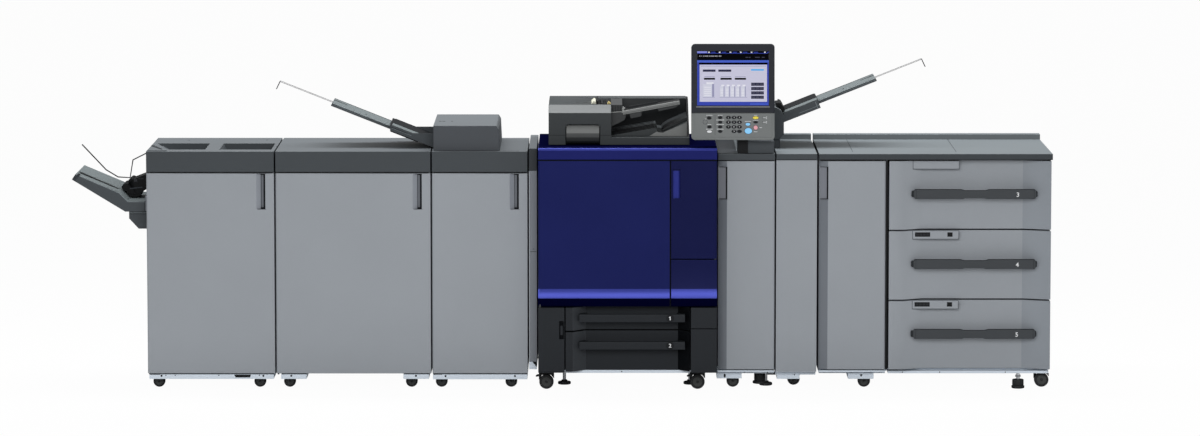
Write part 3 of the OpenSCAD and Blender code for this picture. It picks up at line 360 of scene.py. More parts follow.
# dark cap grey for the lever and the board seams; also painted shade on the floors of the caps' wells and a
# painted shadow under the control panel
CAP_DARK_AND_SHADE = CAP.tinted("cap_well", (52, 56, 60), specular=0.1)
BOARD_EDGE = CAP.tinted("board_edge", (59, 64, 68))
LIP = CAP.tinted("board_lip", (104, 110, 113))
SILL = PANEL.tinted("sill_white", (222, 232, 243))
RAIL = Finish("rail_white", (222, 232, 243), slot="rail_white", rough=0.45, specular=0.3, shade=0.03)
STEEL = Finish("steel", (170, 172, 175), Surface.METAL, "steel", rough=0.3, metallic=1.0)
PIN = STEEL.tinted("hinge_pin", (70, 72, 75), rough=0.5, metallic=0.5)
CHROME = STEEL.tinted("chrome", (200, 202, 205), rough=0.15)
WIRE = STEEL.tinted("tray_wire", (118, 118, 120), rough=0.5, metallic=0.3)
TUB = Finish("tub_grey", (120, 124, 128), slot="tub_grey", rough=0.5)
HUB = Finish("caster_hub", (62, 64, 63), Surface.PLASTIC, "caster_black", rough=0.5, specular=0.3)
TYRE = Finish("caster_black", (38, 39, 40), Surface.RUBBER, "caster_black", rough=0.6, specular=0.25)
KEYS = Finish("key_grey", (108, 112, 112), Surface.PLASTIC, "key_grey", rough=0.45)
BEZEL = Finish("bezel", (46, 48, 54), Surface.PLASTIC, "black_plastic", rough=0.5, specular=0.08)
SCREEN = Finish("screen_glass", (10, 10, 14), Surface.LAMP, "screen", rough=0.25, specular=0.3, shade=0.02)
INK = Finish("ink_white", (226, 228, 230), Surface.PRINT, "key_grey", rough=0.5, shade=0.02)
# painted highlight: a light grey line for the bezel edge under the screen, where it catches the light
BEZEL_HIGHLIGHT = BEZEL.tinted("bezel_edge", (128, 128, 130))
KEY_RING = KEYS.tinted("key_ring", (54, 56, 62))
KEY_BLACK = KEYS.tinted("key_black", (27, 29, 31), rough=0.5, specular=0.1)
KEY_BLUE = KEYS.tinted("key_blue", (120, 188, 232), rough=0.35, glow=0.25)
KEY_YELLOW = KEYS.tinted("key_yellow", (232, 212, 44), rough=0.35)
KEY_PINK = KEYS.tinted("key_pink", (230, 160, 170), rough=0.35)
KEY_RED = KEYS.tinted("key_red", (170, 60, 60), rough=0.35)


def lit(name: str, colour: Colour, glow: float = 0.06) -> Finish:
    """Return the finish of a lit colour on the screen."""
    return Finish("screen_" + name, colour, Surface.LAMP, "screen", 0.6, 0.02, shade=0.015, glow=glow)


SCREEN_BLACK = lit("black", (5, 5, 9), 0.0)
SCREEN_BLUE = lit("blue", (58, 74, 176))
SCREEN_SKY = lit("sky", (74, 100, 204))
SCREEN_LILAC = lit("lilac", (204, 203, 224))
SCREEN_MAUVE = lit("mauve", (150, 150, 182))
SCREEN_PALE = lit("pale", (212, 213, 228))
SCREEN_WHITE = lit("white", (232, 232, 242))
SCREEN_CHIP = lit("chip", (140, 146, 226))
SCREEN_DIM = lit("dim", (150, 150, 156))
SCREEN_SLATE = lit("slate", (74, 74, 92))
SCREEN_BUTTON = lit("button", (50, 50, 74))
SCREEN_CYAN = lit("cyan", (64, 176, 244))


# ---------------- workshop


@contextmanager
def editing(piece: Piece, pick: str = "FACE", whole: bool = True) -> Iterator[None]:
    """Open a piece in edit mode.

    Args:
        piece: the object to shape.
        pick: VERT, EDGE or FACE, the kind of element that is selected.
        whole: select all of the piece, instead of what was selected before.

    Yields:
        Nothing; edit mode ends after the block.
    """
    Bench.only(piece)
    bpy.context.tool_settings.mesh_select_mode = (pick == "VERT", pick == "EDGE", pick == "FACE")
    bpy.ops.object.mode_set(mode="EDIT")
    if whole:
        bpy.ops.mesh.select_all(action="SELECT")
    yield
    bpy.ops.object.mode_set(mode="OBJECT")


class Bench:
    """Modelling steps that the sub-assemblies share."""

    type_size: float = 1.38
    type_turns: int = 4
    wire_turns: int = 3
    flat_angle: float = 32.0
    shade_angle: float = 40.0
    round_angle: float = 50.0
    fine_merge: float = 0.01 * MM
    skin_merge: float = 0.02 * MM

    @staticmethod
    def only(*pieces: Piece) -> None:
        """Select these objects alone and make the first one active."""
        bpy.ops.object.select_all(action="DESELECT")
        for piece in pieces:
            piece.select_set(True)
        bpy.context.view_layer.objects.active = pieces[0] if pieces else None

    @classmethod
    def settle(cls, piece: Piece, name: str = "") -> Piece:
        """Bake an object's place, turn and size into its mesh.

        Args:
            piece: the object.
            name: its new name, if it gets one.

        Returns:
            The same object.
        """
        cls.only(piece)
        bpy.ops.object.transform_apply(location=True, rotation=True, scale=True)
        if name:
            piece.name = piece.data.name = name
        return piece

    @staticmethod
    def pick(piece: Piece, test: FaceTest) -> None:
        """Select the faces that pass a test.

        Args:
            piece: the piece.
            test: takes a face's centre, in millimetres of the line, and its normal.
        """
        mesh = piece.data
        mesh.vertices.foreach_set("select", [False] * len(mesh.vertices))
        mesh.edges.foreach_set("select", [False] * len(mesh.edges))
        for face in mesh.polygons:
            face.select = test(LINE.back(face.center), face.normal)

    @classmethod
    def smooth(cls, piece: Piece, angle: float) -> Piece:
        """Shade a piece smooth up to an angle."""
        cls.only(piece)
        bpy.ops.object.shade_smooth_by_angle(angle=math.radians(angle))
        return piece

    @classmethod
    def edged(
        cls, piece: Piece, width: float, steps: int = 2, angle: float = flat_angle, clamp: bool = False
    ) -> Piece:
        """Break a piece's sharp edges.

        Args:
            piece: the object.
            width: width of the rounding in millimetres.
            steps: segments of the rounding.
            angle: edges sharper than this many degrees are broken.
            clamp: keep the rounding from running past short edges.

        Returns:
            The same object, shaded smooth.
        """
        if width:
            cls.only(piece)
            bevel = piece.modifiers.new("edges", "BEVEL")
            bevel.width, bevel.segments = width * MM, steps
            bevel.limit_method, bevel.angle_limit = "ANGLE", math.radians(angle)
            bevel.use_clamp_overlap = clamp
            bpy.ops.object.modifier_apply(modifier=bevel.name)
        cls.smooth(piece, cls.shade_angle)
        level = piece.modifiers.new("faces", "WEIGHTED_NORMAL")
        level.mode, level.weight, level.keep_sharp = "FACE_AREA", 100, True
        bpy.ops.object.modifier_apply(modifier=level.name)
        return piece

    @classmethod
    def block(cls, name: str, x: Span, y: Span, z: Span, edge: float = 1.0, steps: int = 2) -> Piece:
        """Make a block with broken edges.

        Args:
            name: name of the piece.
            x: its reach along the line.
            y: its reach in depth.
            z: its reach upwards.
            edge: width of its broken edges.
            steps: segments of the broken edges.

        Returns:
            The piece.
        """
        low, high = LINE.at(x[0], y[0], z[0]), LINE.at(x[1], y[1], z[1])
        bpy.ops.object.select_all(action="DESELECT")
        bpy.ops.mesh.primitive_cube_add(size=1.0, location=(low + high) / 2, scale=high - low)
        piece = cls.settle(bpy.context.object, name)
        with editing(piece, "EDGE"):
            bpy.ops.mesh.bevel(offset=edge * MM, segments=steps, affect="EDGES")
        return cls.edged(piece, 0.0)

    @classmethod
    def chain(cls, name: str, points: Sequence[Vector]) -> Piece:
        """Draw a chain of edges, one vertex after the other.

        Args:
            name: name of the piece.
            points: the chain's points, in metres of the row.

        Returns:
            The chain.
        """
        bpy.ops.object.select_all(action="DESELECT")
        bpy.ops.mesh.primitive_plane_add(size=0.01, location=points[0])
        piece = cls.settle(bpy.context.object, name)
        with editing(piece, "VERT"):
            bpy.ops.mesh.merge(type="CENTER")
            for start, end in zip(points, points[1:]):
                bpy.ops.mesh.extrude_vertices_move(TRANSFORM_OT_translate={"value": end - start})
        return piece

    @classmethod
    def prism(
        cls, name: str, outline: Outline, axis: str, reach: Span, edge: float = 0.8, steps: int = 2
    ) -> Piece:
        """Extrude an outline along an axis.

        Args:
            name: name of the piece.
            outline: corners in the plane across the axis: (x, z) for Y, (y, z) for X, (x, y) for Z.
            axis: X, Y or Z.
            reach: where the piece begins and ends along the axis.
            edge: width of its broken edges.
            steps: segments of the broken edges.

        Returns:
            The piece.
        """
        along = "XYZ".index(axis)
        move = [float(n == along) for n in range(3)]
        piece = cls.chain(name, [LINE.at(*p[:along], reach[0], *p[along:]) for p in outline])
        with editing(piece, "VERT"):
            bpy.ops.mesh.edge_face_add()
            step = Vector(move) * (reach[1] - reach[0]) * MM
            bpy.ops.mesh.extrude_region_move(TRANSFORM_OT_translate={"value": step})
            bpy.ops.mesh.select_all(action="SELECT")
            bpy.ops.mesh.normals_make_consistent(inside=False)
        return cls.edged(piece, edge, steps)

    @classmethod
    def tube(cls, name: str, points: Sequence[Vector], radius: float) -> Piece:
        """Make a round wire.

        Args:
            name: name of the piece.
            points: the points it runs through, in metres of the row.
            radius: its radius in millimetres.

        Returns:
            The wire.
        """
        cls.chain(name, points)
        bpy.ops.object.convert(target="CURVE")
        piece = bpy.context.object
        piece.data.bevel_depth, piece.data.bevel_resolution = radius * MM, cls.wire_turns
        piece.data.use_fill_caps = True
        bpy.ops.object.convert(target="MESH")
        piece = bpy.context.object
        piece.name = piece.data.name = name
        return cls.smooth(piece, cls.round_angle)

    @classmethod
    def rod(
        cls, name: str, centre: Spot, radius: float, length: float,
        axis: str, edge: float, sides: int = 32,
    ) -> Piece:
        """Make a round bar or disc about a centre.

        Args:
            name: name of the piece.
            centre: its middle.
            radius: its radius.
            length: its length along its axis.
            axis: X, Y or Z.
            edge: width of its broken rims.
            sides: corners of its round section.

        Returns:
            The bar.
        """
        turn = {"X": (0, math.pi / 2, 0), "Y": (math.pi / 2, 0, 0), "Z": (0, 0, 0)}[axis]
        bpy.ops.object.select_all(action="DESELECT")
        bpy.ops.mesh.primitive_cylinder_add(
            vertices=sides, radius=radius * MM, depth=length * MM, location=LINE.at(*centre), rotation=turn
        )
        piece = cls.settle(bpy.context.object, name)
        return cls.edged(piece, edge, 2, cls.round_angle)

    @classmethod
    def disc(
        cls, name: str, centre: Spot, size: Span, thick: float, edge: float, sides: int = 24
    ) -> Piece:
        """Make an oval button that faces the operator.

        Args:
            name: name of the piece.
            centre: middle of its front face.
            size: its width and height.
            thick: how far it reaches back from its front face.
            edge: width of its broken rim.
            sides: corners of the oval.

        Returns:
            The button.
        """
        bpy.ops.object.select_all(action="DESELECT")
        bpy.ops.mesh.primitive_cylinder_add(
            vertices=sides,
            radius=0.5,
            depth=1.0,
            location=LINE.at(centre[0], centre[1] + thick / 2, centre[2]),
            rotation=(math.pi / 2, 0.0, 0.0),
            scale=(size[0] * MM, size[1] * MM, thick * MM),
        )
        return cls.edged(cls.settle(bpy.context.object, name), edge, 2, cls.round_angle)

    @classmethod
    def figure(
        cls, name: str, text: str, centre: Spot, height: float, deep: float, weight: float = 0.0
    ) -> Piece:
        """Make a number that faces the operator.

        Args:
            name: name of the piece.
            text: the digits.
            centre: their middle.
            height: height of the digits.
            deep: how thick they are.
            weight: how much bolder than the plain typeface they are.

        Returns:
            The number.
        """
        bpy.ops.object.select_all(action="DESELECT")
        bpy.ops.object.text_add(location=(0.0, 0.0, 0.0))
        piece = bpy.context.object
        piece.data.body, piece.data.size = text, height * cls.type_size * MM
        piece.data.offset = weight * MM
        piece.data.align_x, piece.data.align_y = "CENTER", "CENTER"
        piece.data.extrude, piece.data.resolution_u = deep / 2 * MM, cls.type_turns
        bpy.ops.object.convert(target="MESH")
        piece = bpy.context.object
        with editing(piece, "VERT"):
            bpy.ops.mesh.remove_doubles(threshold=cls.fine_merge)
        piece.rotation_euler = (math.pi / 2, 0.0, 0.0)
        piece.location = LINE.at(*centre)
        return cls.settle(piece, name)

    @classmethod
    def leaned(cls, piece: Piece, degrees: float, pivot: Spot) -> Piece:
        """Turn a piece about an axis along the line and bake the turn.

        Args:
            piece: the piece.
            degrees: how far it turns.
            pivot: a point of the axis.

        Returns:
            The same piece.
        """
        turn = Matrix.Rotation(math.radians(degrees), 4, "X")
        hub = LINE.at(*pivot)
        piece.matrix_world = Matrix.Translation(hub) @ turn @ Matrix.Translation(-hub)
        return cls.settle(piece)

    @classmethod
    def copies(cls, piece: Piece, moves: Sequence[Spot]) -> Piece:
        """Copy a piece, each copy with its own mesh, and join the copies to it.

        Args:
            piece: the modelled piece, which stays in its place.
            moves: distance of each copy from it in millimetres.

        Returns:
            The joined piece.
        """
        made = [piece]
        for move in moves:
            cls.only(piece)
            bpy.ops.object.duplicate(linked=False)
            twin = bpy.context.object
            twin.location = Vector(move) * MM
            made.append(cls.settle(twin))
        return cls.join(piece.name, made)

    @classmethod
    def join(cls, name: str, pieces: Sequence[Piece]) -> Piece:
        """Join pieces into one object.

        Args:
            name: name of the whole.
            pieces: the pieces, in the order of their meshes.

        Returns:
            The whole.
        """
        cls.only(*pieces)
        if len(pieces) > 1:
            bpy.ops.object.join()
        whole = bpy.context.object
        whole.name = whole.data.name = name
        return whole

    @classmethod
    def cut(cls, piece: Piece, tool: Piece) -> Piece:
        """Cut a tool's shape out of a piece and remove the tool.

        Args:
            piece: the piece.
            tool: an object with the shape of the hole.

        Returns:
            The same piece.
        """
        cls.only(piece)
        cutter = piece.modifiers.new("cut", "BOOLEAN")
        cutter.operation, cutter.object, cutter.solver = "DIFFERENCE", tool, "EXACT"
        bpy.ops.object.modifier_apply(modifier=cutter.name)
        bpy.data.objects.remove(tool)
        return piece

    @staticmethod
    def divide(piece: Piece, place: Vector, way: Spot, clear: bool = False) -> None:
        """Divide a piece's faces along a plane.

        Args:
            piece: the piece.
            place: a point of the plane, in metres of the row.
            way: the way the plane faces.
            clear: remove what is behind the plane and close the cut.
        """
        with editing(piece):
            bpy.ops.mesh.bisect(plane_co=place, plane_no=way, clear_inner=clear, use_fill=clear)

    @classmethod
    def skin(cls, node: str, edge: float = 1.2, steps: int = 2, clamp: bool = False) -> Piece:
        """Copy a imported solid's mesh, merge it and break its edges.

        Args:
            node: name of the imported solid, which the skin replaces.
            edge: width of the broken edges in millimetres, or 0.
            steps: segments of the broken edges.
            clamp: keep the rounding from running past short edges.

        Returns:
            The skin, riding on the solid's body.
        """
        solid = frame["nodes"][node]
        cls.only(solid)
        bpy.ops.object.duplicate(linked=False)
        piece = bpy.context.object
        piece.parent = None
        piece.matrix_world = Matrix.Identity(4)
        for key in list(piece.keys()):
            del piece[key]
        piece.name = piece.data.name = node + "_skin"
        with editing(piece, "VERT"):
            bpy.ops.mesh.remove_doubles(threshold=cls.skin_merge)
            bpy.ops.mesh.normals_make_consistent(inside=False)
        cls.edged(piece, edge, steps, clamp=clamp)
        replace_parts(piece, node)
        return cls.rides(piece, solid["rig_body"])

    @staticmethod
    def rides(piece: Piece, body: str = "line") -> Piece:
        """Let a piece ride on a body."""
        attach(piece, body)
        return piece

    @staticmethod
    def paint(piece: Piece, finish: Finish) -> Piece:
        """Give a piece one finish all over.

        Args:
            piece: the piece.
            finish: the finish, whose material fills the piece's one slot.

        Returns:
            The same piece.
        """
        piece.data.materials.clear()
        piece.data.materials.append(finish.material())
        for face in piece.data.polygons:
            face.material_index = 0
        return piece

    @staticmethod
    def paint_where(piece: Piece, finish: Finish, test: FaceTest) -> Piece:
        """Give the faces that pass a test another finish.

        Args:
            piece: the piece.
            finish: the finish.
            test: takes a face's centre, in millimetres of the line, and its normal.

        Returns:
            The same piece.
        """
        piece.data.materials.append(finish.material())
        index = len(piece.data.materials) - 1
        for face in piece.data.polygons:
            if test(LINE.back(face.center), face.normal):
                face.material_index = index
        return piece


# ---------------- sub-assemblies


@dataclass
class Assembly:
    """A part of the line that is built and dressed in one go."""

    title: str = "assembly"
    body: str = "line"
    made: list[Piece] = field(default_factory=list)

    def add(self, piece: Piece, finish: Finish, body: str = "") -> Piece:
        """Paint a new piece, let it ride on a body and note it.

        Args:
            piece: the piece.
            finish: its finish.
            body: the body it rides on, if it isn't the assembly's own.

        Returns:
            The piece.
        """
        Bench.paint(piece, finish)
        self.made.append(Bench.rides(piece, body or self.body))
        return piece

    def skin(
        self, node: str, finish: Finish, edge: float = 1.2, steps: int = 2, clamp: bool = False
    ) -> Piece:
        """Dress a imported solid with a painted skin, as Bench.skin makes it."""
        piece = Bench.paint(Bench.skin(node, edge, steps, clamp), finish)
        self.made.append(piece)
        return piece

    def block(
        self, name: str, finish: Finish, x: Span, y: Span, z: Span, edge: float = 1.0, body: str = ""
    ) -> Piece:
        """Add a block with rounded edges."""
        return self.add(Bench.block(name, x, y, z, edge), finish, body)

    def strip(
        self, name: str, finish: Finish, x: Span, y: Span, z: Span, edge: float = 0.1, body: str = ""
    ) -> Piece:
        """Add a thin plate or line with plainly broken edges."""
        return self.add(Bench.block(name, x, y, z, edge, 1), finish, body)

    def blocks(self, name: str, finish: Finish, boxes: Sequence[Box], edge: float, body: str = "") -> Piece:
        """Add several blocks as one piece; only edges of half a millimetre and more are rounded."""
        steps = 2 if edge >= 0.5 else 1
        made = [Bench.block("block", x, y, z, edge, steps) for x, y, z in boxes]
        return self.add(Bench.join(name, made), finish, body)

    def prism(
        self, name: str, finish: Finish, outline: Outline, axis: str, reach: Span,
        edge: float = 0.8, steps: int = 2,
    ) -> Piece:
        """Add an extruded outline, as Bench.prism makes it."""
        return self.add(Bench.prism(name, outline, axis, reach, edge, steps), finish)

    def louvres(
        self, name: str, finish: Finish, rows: Sequence[Span], y: Span, top: float, count: int
    ) -> Piece:
        """Add slanting louvres, one below the other.

        Args:
            name: name of the piece.
            finish: its finish.
            rows: where each row begins and ends along the line.
            y: depth of the louvres' root and of their face.
            top: height of the highest louvre.
            count: how many louvres a row has.

        Returns:
            The piece.
        """
        pitch, rise = 14, 3
        slot = [(y[0], top), (y[1], top + rise), (y[1], top + 2 * rise), (y[0], top + 3 * rise)]
        first = Bench.join(name, [Bench.prism("row", slot, "X", row, 0.3, 1) for row in rows])
        return self.add(Bench.copies(first, [(0, 0, -pitch * n) for n in range(1, count)]), finish)

    def screws(
        self, name: str, places: Sequence[Spot], size: Span = (4.5, 2.0), edge: float = 0.6, axis: str = "Y"
    ) -> Piece:
        """Add steel screw heads.

        Args:
            name: name of the piece.
            places: middle of each head.
            size: radius and thickness of a head.
            edge: width of its broken rim.
            axis: the way the heads face.

        Returns:
            The piece.
        """
        first = Bench.rod(name, places[0], size[0], size[1], axis, edge, 16)
        moves = [tuple(b - a for a, b in zip(places[0], place)) for place in places[1:]]
        return self.add(Bench.copies(first, moves), STEEL)

    def build(self) -> None:
        """Model the pieces."""

    def dress(self) -> None:
        """Add the trim."""

    def report(self) -> None:
        """Log the pieces."""
        for piece in self.made:
            log.info("%s: %s, %d faces", self.title, piece.name, len(piece.data.polygons))


def upward(point: Vector, normal: Vector) -> bool:
    """Tell whether a face looks up."""
    return normal.z > 0.8


@dataclass
class FinishingUnits(Assembly):
    """Finisher, folder and the unit under the cover inserter, with the narrow relay."""

    title: str = "finishing units"
    edge: float = 2.0
    depth: float = 638.0
    top: float = 1027.0
    cap_z: float = 939.0
    grip_low: float = 779.0
    grip_high: float = 930.6
    grip_floor: float = 17.7
    tray_z: float = 758.0

    def build(self) -> None:
        """Skin the housings, caps and doors, the relay and the output unit."""
        for unit, right in (("finisher", 546.0), ("folder", 1215.0), ("inserter", 1630.0)):
            self.skin(f"{unit}_housing", PANEL)
            self.shade_grip(self.skin(f"{unit}_door", PANEL, self.edge), right)
            cap = self.skin(f"{unit}_cap", CAP, self.edge)
            # painted light on the caps' upward faces
            Bench.paint_where(cap, CAP_TOP_LIT, upward)
            well = self.top - 1
            # painted shade: the floors of the caps' wells are darkened
            Bench.paint_where(cap, CAP_DARK_AND_SHADE, lambda p, n: 90 < p.y < 380 and p.z < well and n.z > 0.9)
        self.build_relay()
        tray = self.skin("exit_tray", TRAY, self.edge)
        # painted light on the output tray's upward faces
        Bench.paint_where(tray, TRAY_TOP_LIT, lambda p, n: n.z > 0.6)
        self.skin("exit_box", TRAY, self.edge)
        self.skin("exit_rollers", BLACK_AND_SHADE, 1.0)

    def build_relay(self) -> None:
        """Skin the narrow relay in two greys, the lower one darkened with painted shade and its tops lit with
        painted light, and add its bright edge in plain panel grey, seam and screw.
        """
        split = self.cap_z + 5
        relay = Bench.skin("narrow_relay", 0.0)
        Bench.divide(relay, LINE.at(0, 0, split), (0.0, 0.0, 1.0))
        Bench.edged(relay, 1.2)
        # painted shade on the lower part, the relay's own dark grey on the upper part, painted light on the
        # tops
        Bench.paint(relay, RELAY_SHADE)
        Bench.paint_where(relay, RELAY_CAP, lambda p, n: p.z > split + 1)
        Bench.paint_where(relay, CAP_TOP_LIT, upward)
        self.made.append(relay)
        self.strip("relay_edge", PANEL, (1636.4, 1641), (-1.4, 0.4), (122, split - 1), 0.4)
        self.strip("relay_seam", BLACK_AND_SHADE, (1636.4, 1668.6), (-0.5, 0.4), (596, 598))
        self.add(Bench.rod("relay_screw", (1655, -0.6, 608), 3.6, 1.8, "Y", 0.5, 16), GRIP_GREY_AND_SHADE)

    def shade_grip(self, door: Piece, right: float) -> None:
        """Paint light and shade onto the faces of a door's hand recess, and line it with dark blocks that
        stand for its shade.

        Args:
            door: the door's skin.
            right: where the door ends.
        """
        low, high, floor = self.grip_low + 0.3, self.grip_high, self.grip_floor

        def inside(p: Vector) -> bool:
            """Tell whether a point is in the recess."""
            return right - 80 < p.x < right - 30 and self.grip_low - 3 < p.z < high + 3.4 and 1 < p.y < 24

        # painted light on the recess's slope; painted shade on its floor, right wall, top and bottom
        Bench.paint_where(door, GRIP_SLOPE_LIT, lambda p, n: inside(p) and 0.2 < n.x < 0.95)
        Bench.paint_where(door, GRIP_GREY_AND_SHADE, lambda p, n: inside(p) and n.y < -0.95)
        Bench.paint_where(door, GRIP_DEEP_SHADE, lambda p, n: inside(p) and (n.x < -0.5 or abs(n.z) > 0.5))
        unit = door.name.split("_")[0]
        body = f"{unit}_door"
        cheek, fold = (right - 37, right - 31.4), (right - 58.5, right - 53.5)
        self.strip(f"{unit}_grip_cheek", PANEL, cheek, (0.05, floor - 0.1), (low, high + 0.6), 0.3, body)
        end = ((right - 57, right - 44.8), (14.5, floor))
        # dark blocks and a darker strip that stand for the shade at the recess's right side
        well = [
            Bench.block("wall", (right - 45, right - 37.2), (11, floor), (low, high), 1.5),
            Bench.block("wall", *end, (low, low + 7), 1.0),
            Bench.block("wall", *end, (high - 5, high), 1.0),
        ]
        self.add(Bench.join(f"{unit}_grip_wall", well), GRIP_DEEP_SHADE, body)
        self.strip(f"{unit}_grip_fold", GRIP_SHADE, fold, (17.0, 17.9), (low, high), 0.3, body)

    def dress(self) -> None:
        """Add marks and trim to the caps, the output unit and the backs."""
        top = self.top
        for x, y in ((144, 520), (484, 534)):
            mark = [(x - 6, y), (x, y + 12), (x + 6, y), (x, y - 12)]
            self.prism("cap_mark", CAP, mark, "Z", (top - 0.1, top + 0.4), 0.1, 1)
        outer = [(1525, 34), (1525, 25), (1594, 25), (1594, 34)]
        label = outer + [(1590, 34), (1590, 29), (1529, 29), (1529, 34)]
        self.prism("cap_label", BLACK_AND_SHADE, label, "Z", (top - 0.1, top + 0.5), 0.1, 1)
        # the flap is painted in the lighter tone of the lit cap tops
        self.prism("cap_flap", CAP_TOP_LIT, [(3, 18), (88, 18), (22, 232), (6, 232)], "Z", (top - 0.4, top + 4))
        lever = [(5, 236), (14, 236), (66, 62), (60, 56), (5, 205)]
        self.prism("cap_lever", CAP_DARK_AND_SHADE, lever, "Z", (top + 3.8, top + 6), 0.6)
        seam = ((-0.4, 0.4), (self.cap_z - 0.8, self.cap_z + 0.6))
        self.blocks("cap_seams", BLACK_AND_SHADE, [(x, *seam) for x in ((2, 544), (554, 1213), (1223, 1628))], 0.1)
        self.dress_tray()
        self.dress_arm()
        self.dress_back()

    def on_tray(
        self, name: str, finish: Finish, x: Span, lift: Span, y: Span, edge: float, steps: int
    ) -> None:
        """Lay a strip along the output tray's slope.

        Args:
            name: name of the strip.
            finish: its finish.
            x: its two ends along the line.
            lift: height of its underside and of its top over the tray.
            y: its reach in depth.
            edge: width of its broken edges.
            steps: segments of the broken edges.
        """
        corners = ((x[0], lift[0]), (x[1], lift[0]), (x[1], lift[1]), (x[0], lift[1]))
        outline = [(along, self.tray_z + 86 + (-130 - along) * 0.438 + above) for along, above in corners]
        self.prism(name, finish, outline, "Y", y, edge, steps)

    def dress_tray(self) -> None:
        """Add the output tray's wires, groove, rail and end cap."""
        points = [(1, 1006), (-7, 1004), (-75, 970), (-88, 893), (-140, 896), (-191, 927), (-294, 1037)]
        wires = Bench.tube("exit_wire", [LINE.at(x, 222, h) for x, h in points], 2.7)
        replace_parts(wires, "exit_wires")
        self.add(wires, BLACK_AND_SHADE)
        self.on_tray("exit_groove", BLACK_AND_SHADE, (-302, -138), (0.2, 0.9), (184, 206), 0.2, 1)
        # the rail is painted in the lit tone of the tray tops
        self.on_tray("exit_rail", TRAY_TOP_LIT, (-304, -132), (0.2, 2.6), (207, 330), 0.8, 2)
        tip = [(-327.5, 897.5), (-314, 890), (-292, 918), (-303, 920)]
        self.prism("exit_end", BLACK_AND_SHADE, tip, "Y", (98.5, 140), 1.0)
        rib = [(-325, 896), (-322, 894), (-301, 919), (-304, 920)]
        ribs = Bench.prism("exit_ribs", rib, "Y", (97.8, 99), 0.2, 1)
        self.add(Bench.copies(ribs, [(4.5, 0, -1.5), (9, 0, -3)]), REAR)

    def dress_arm(self) -> None:
        """Add the roller arm's foot, the edge line as a painted highlight, the plate with a black strip of
        painted shadow beside it, wheels and marks.
        """
        sole = [(-100, 830), (-97, 819), (-86, 808), (-60, 807)]
        foot = sole + [(-44, 813), (-40, 829), (-48, 838), (-98, 838)]
        self.prism("exit_arm_foot", BLACK_AND_SHADE, foot, "Y", (232, 366), 1.5)
        edge = (99.2, 100.6)
        slope = [(-296, 911), (-295, 913.4), (-129, 841.6), (-130, 839.2)]
        bend = [(-130, 841), (-128, 842.5), (-86, 801.5), (-88, 799.6)]
        line = [Bench.prism("line", outline, "Y", edge, 0.1, 1) for outline in (slope, bend)]
        line.append(Bench.block("line", (-87, -14), edge, (799.6, 802), 0.1, 1))
        self.add(Bench.join("exit_edge_line", line), TRAY_EDGE_HIGHLIGHT)
        self.block("exit_side_plate", PANEL_SHADE, (-13, -0.4), (96, 470), (762, 826), 1.2)
        # painted shadow: a black strip fills the gap beside the side plate
        self.strip("exit_gap", BLACK_AND_SHADE, (-16, -13), (99, 470), (758.5, 803.5), 0.3)
        wheels = [Bench.rod("wheel", (-108, y, 850), 17, 14, "Y", 2.0) for y in range(238, 359, 24)]
        wheels += [Bench.rod("wheel", (-84, y, 876), 13, 12, "Y", 2.0) for y in range(240, 361, 24)]
        self.add(Bench.join("exit_wheels", wheels), RUBBER_BLACK)
        face = (229.2, 230.4)
        marks = [((-72 + 5 * n, -69 + 5 * n), face, (874, 886)) for n in range(3)]
        marks += [((-52 + 8 * n, -47 + 8 * n), face, (886, 889)) for n in range(3)]
        self.blocks("exit_marks", KEY_RING, marks, 0.2)
        bar = [(-92, 842), (-90, 847), (-36, 853), (-36, 848)]
        self.prism("exit_bar", REAR, bar, "Y", (228.6, 230.4), 0.3, 1)
        rim = [(-84, 748), (-84, 752), (-2, 752), (-2, 748)]
        # painted highlight along the output box's edge
        self.prism("exit_box_edge", TRAY_EDGE_HIGHLIGHT, rim, "Y", (139, 140.6), 0.2, 1)

    def dress_back(self) -> None:
        """Fit the rear covers of the finishing units with louvres and screws."""
        back = self.depth
        spans = ((12, 534), (564, 1203), (1233, 1618))
        covers = [(x, (back - 0.5, back + 1.6), (84, 925)) for x in spans]
        self.blocks("finishing_rear_covers", PANEL, covers, 0.8)
        rows = [(left + 60, left + 300) for left, _ in spans]
        self.louvres("finishing_louvres", PANEL_SHADE, rows, (back + 1.2, back + 3), 300, 9)
        columns = [x for left, right in spans for x in (left + 14, right - 14)]
        self.screws("finishing_screws", [(x, back + 2, z) for x in columns for z in (100, 505, 910)])
        self.block("finisher_side_cover", PANEL, (-1.6, 0.4), (60, 620), (90, 640), 0.7)


@dataclass(frozen=True)
class PaperTray:
    """Shape of a paper tray with its sliding extension, seen from the front."""

    root: Span
    away: float
    length: float
    lift: float
    front: float
    plate: float
    stop: float
    slope: float = 21.6

    def spot(self, along: float, above: float) -> Span:
        """Return the point so far out along the tray's underside and so high above it."""
        turn = math.radians(self.slope)
        x = along * math.cos(turn) - above * math.sin(turn)
        return self.root[0] + self.away * x, self.root[1] + along * math.sin(turn) + above * math.cos(turn)

    def bar(self, name: str, start: Span, end: Span, y: Span, edge: float) -> Piece:
        """Make a bar between two (along, above) corners, across the tray."""
        corners = [(start[0], start[1]), (end[0], start[1]), (end[0], end[1]), (start[0], end[1])]
        return Bench.prism(name, [self.spot(*c) for c in corners], "Y", y, edge, 1)


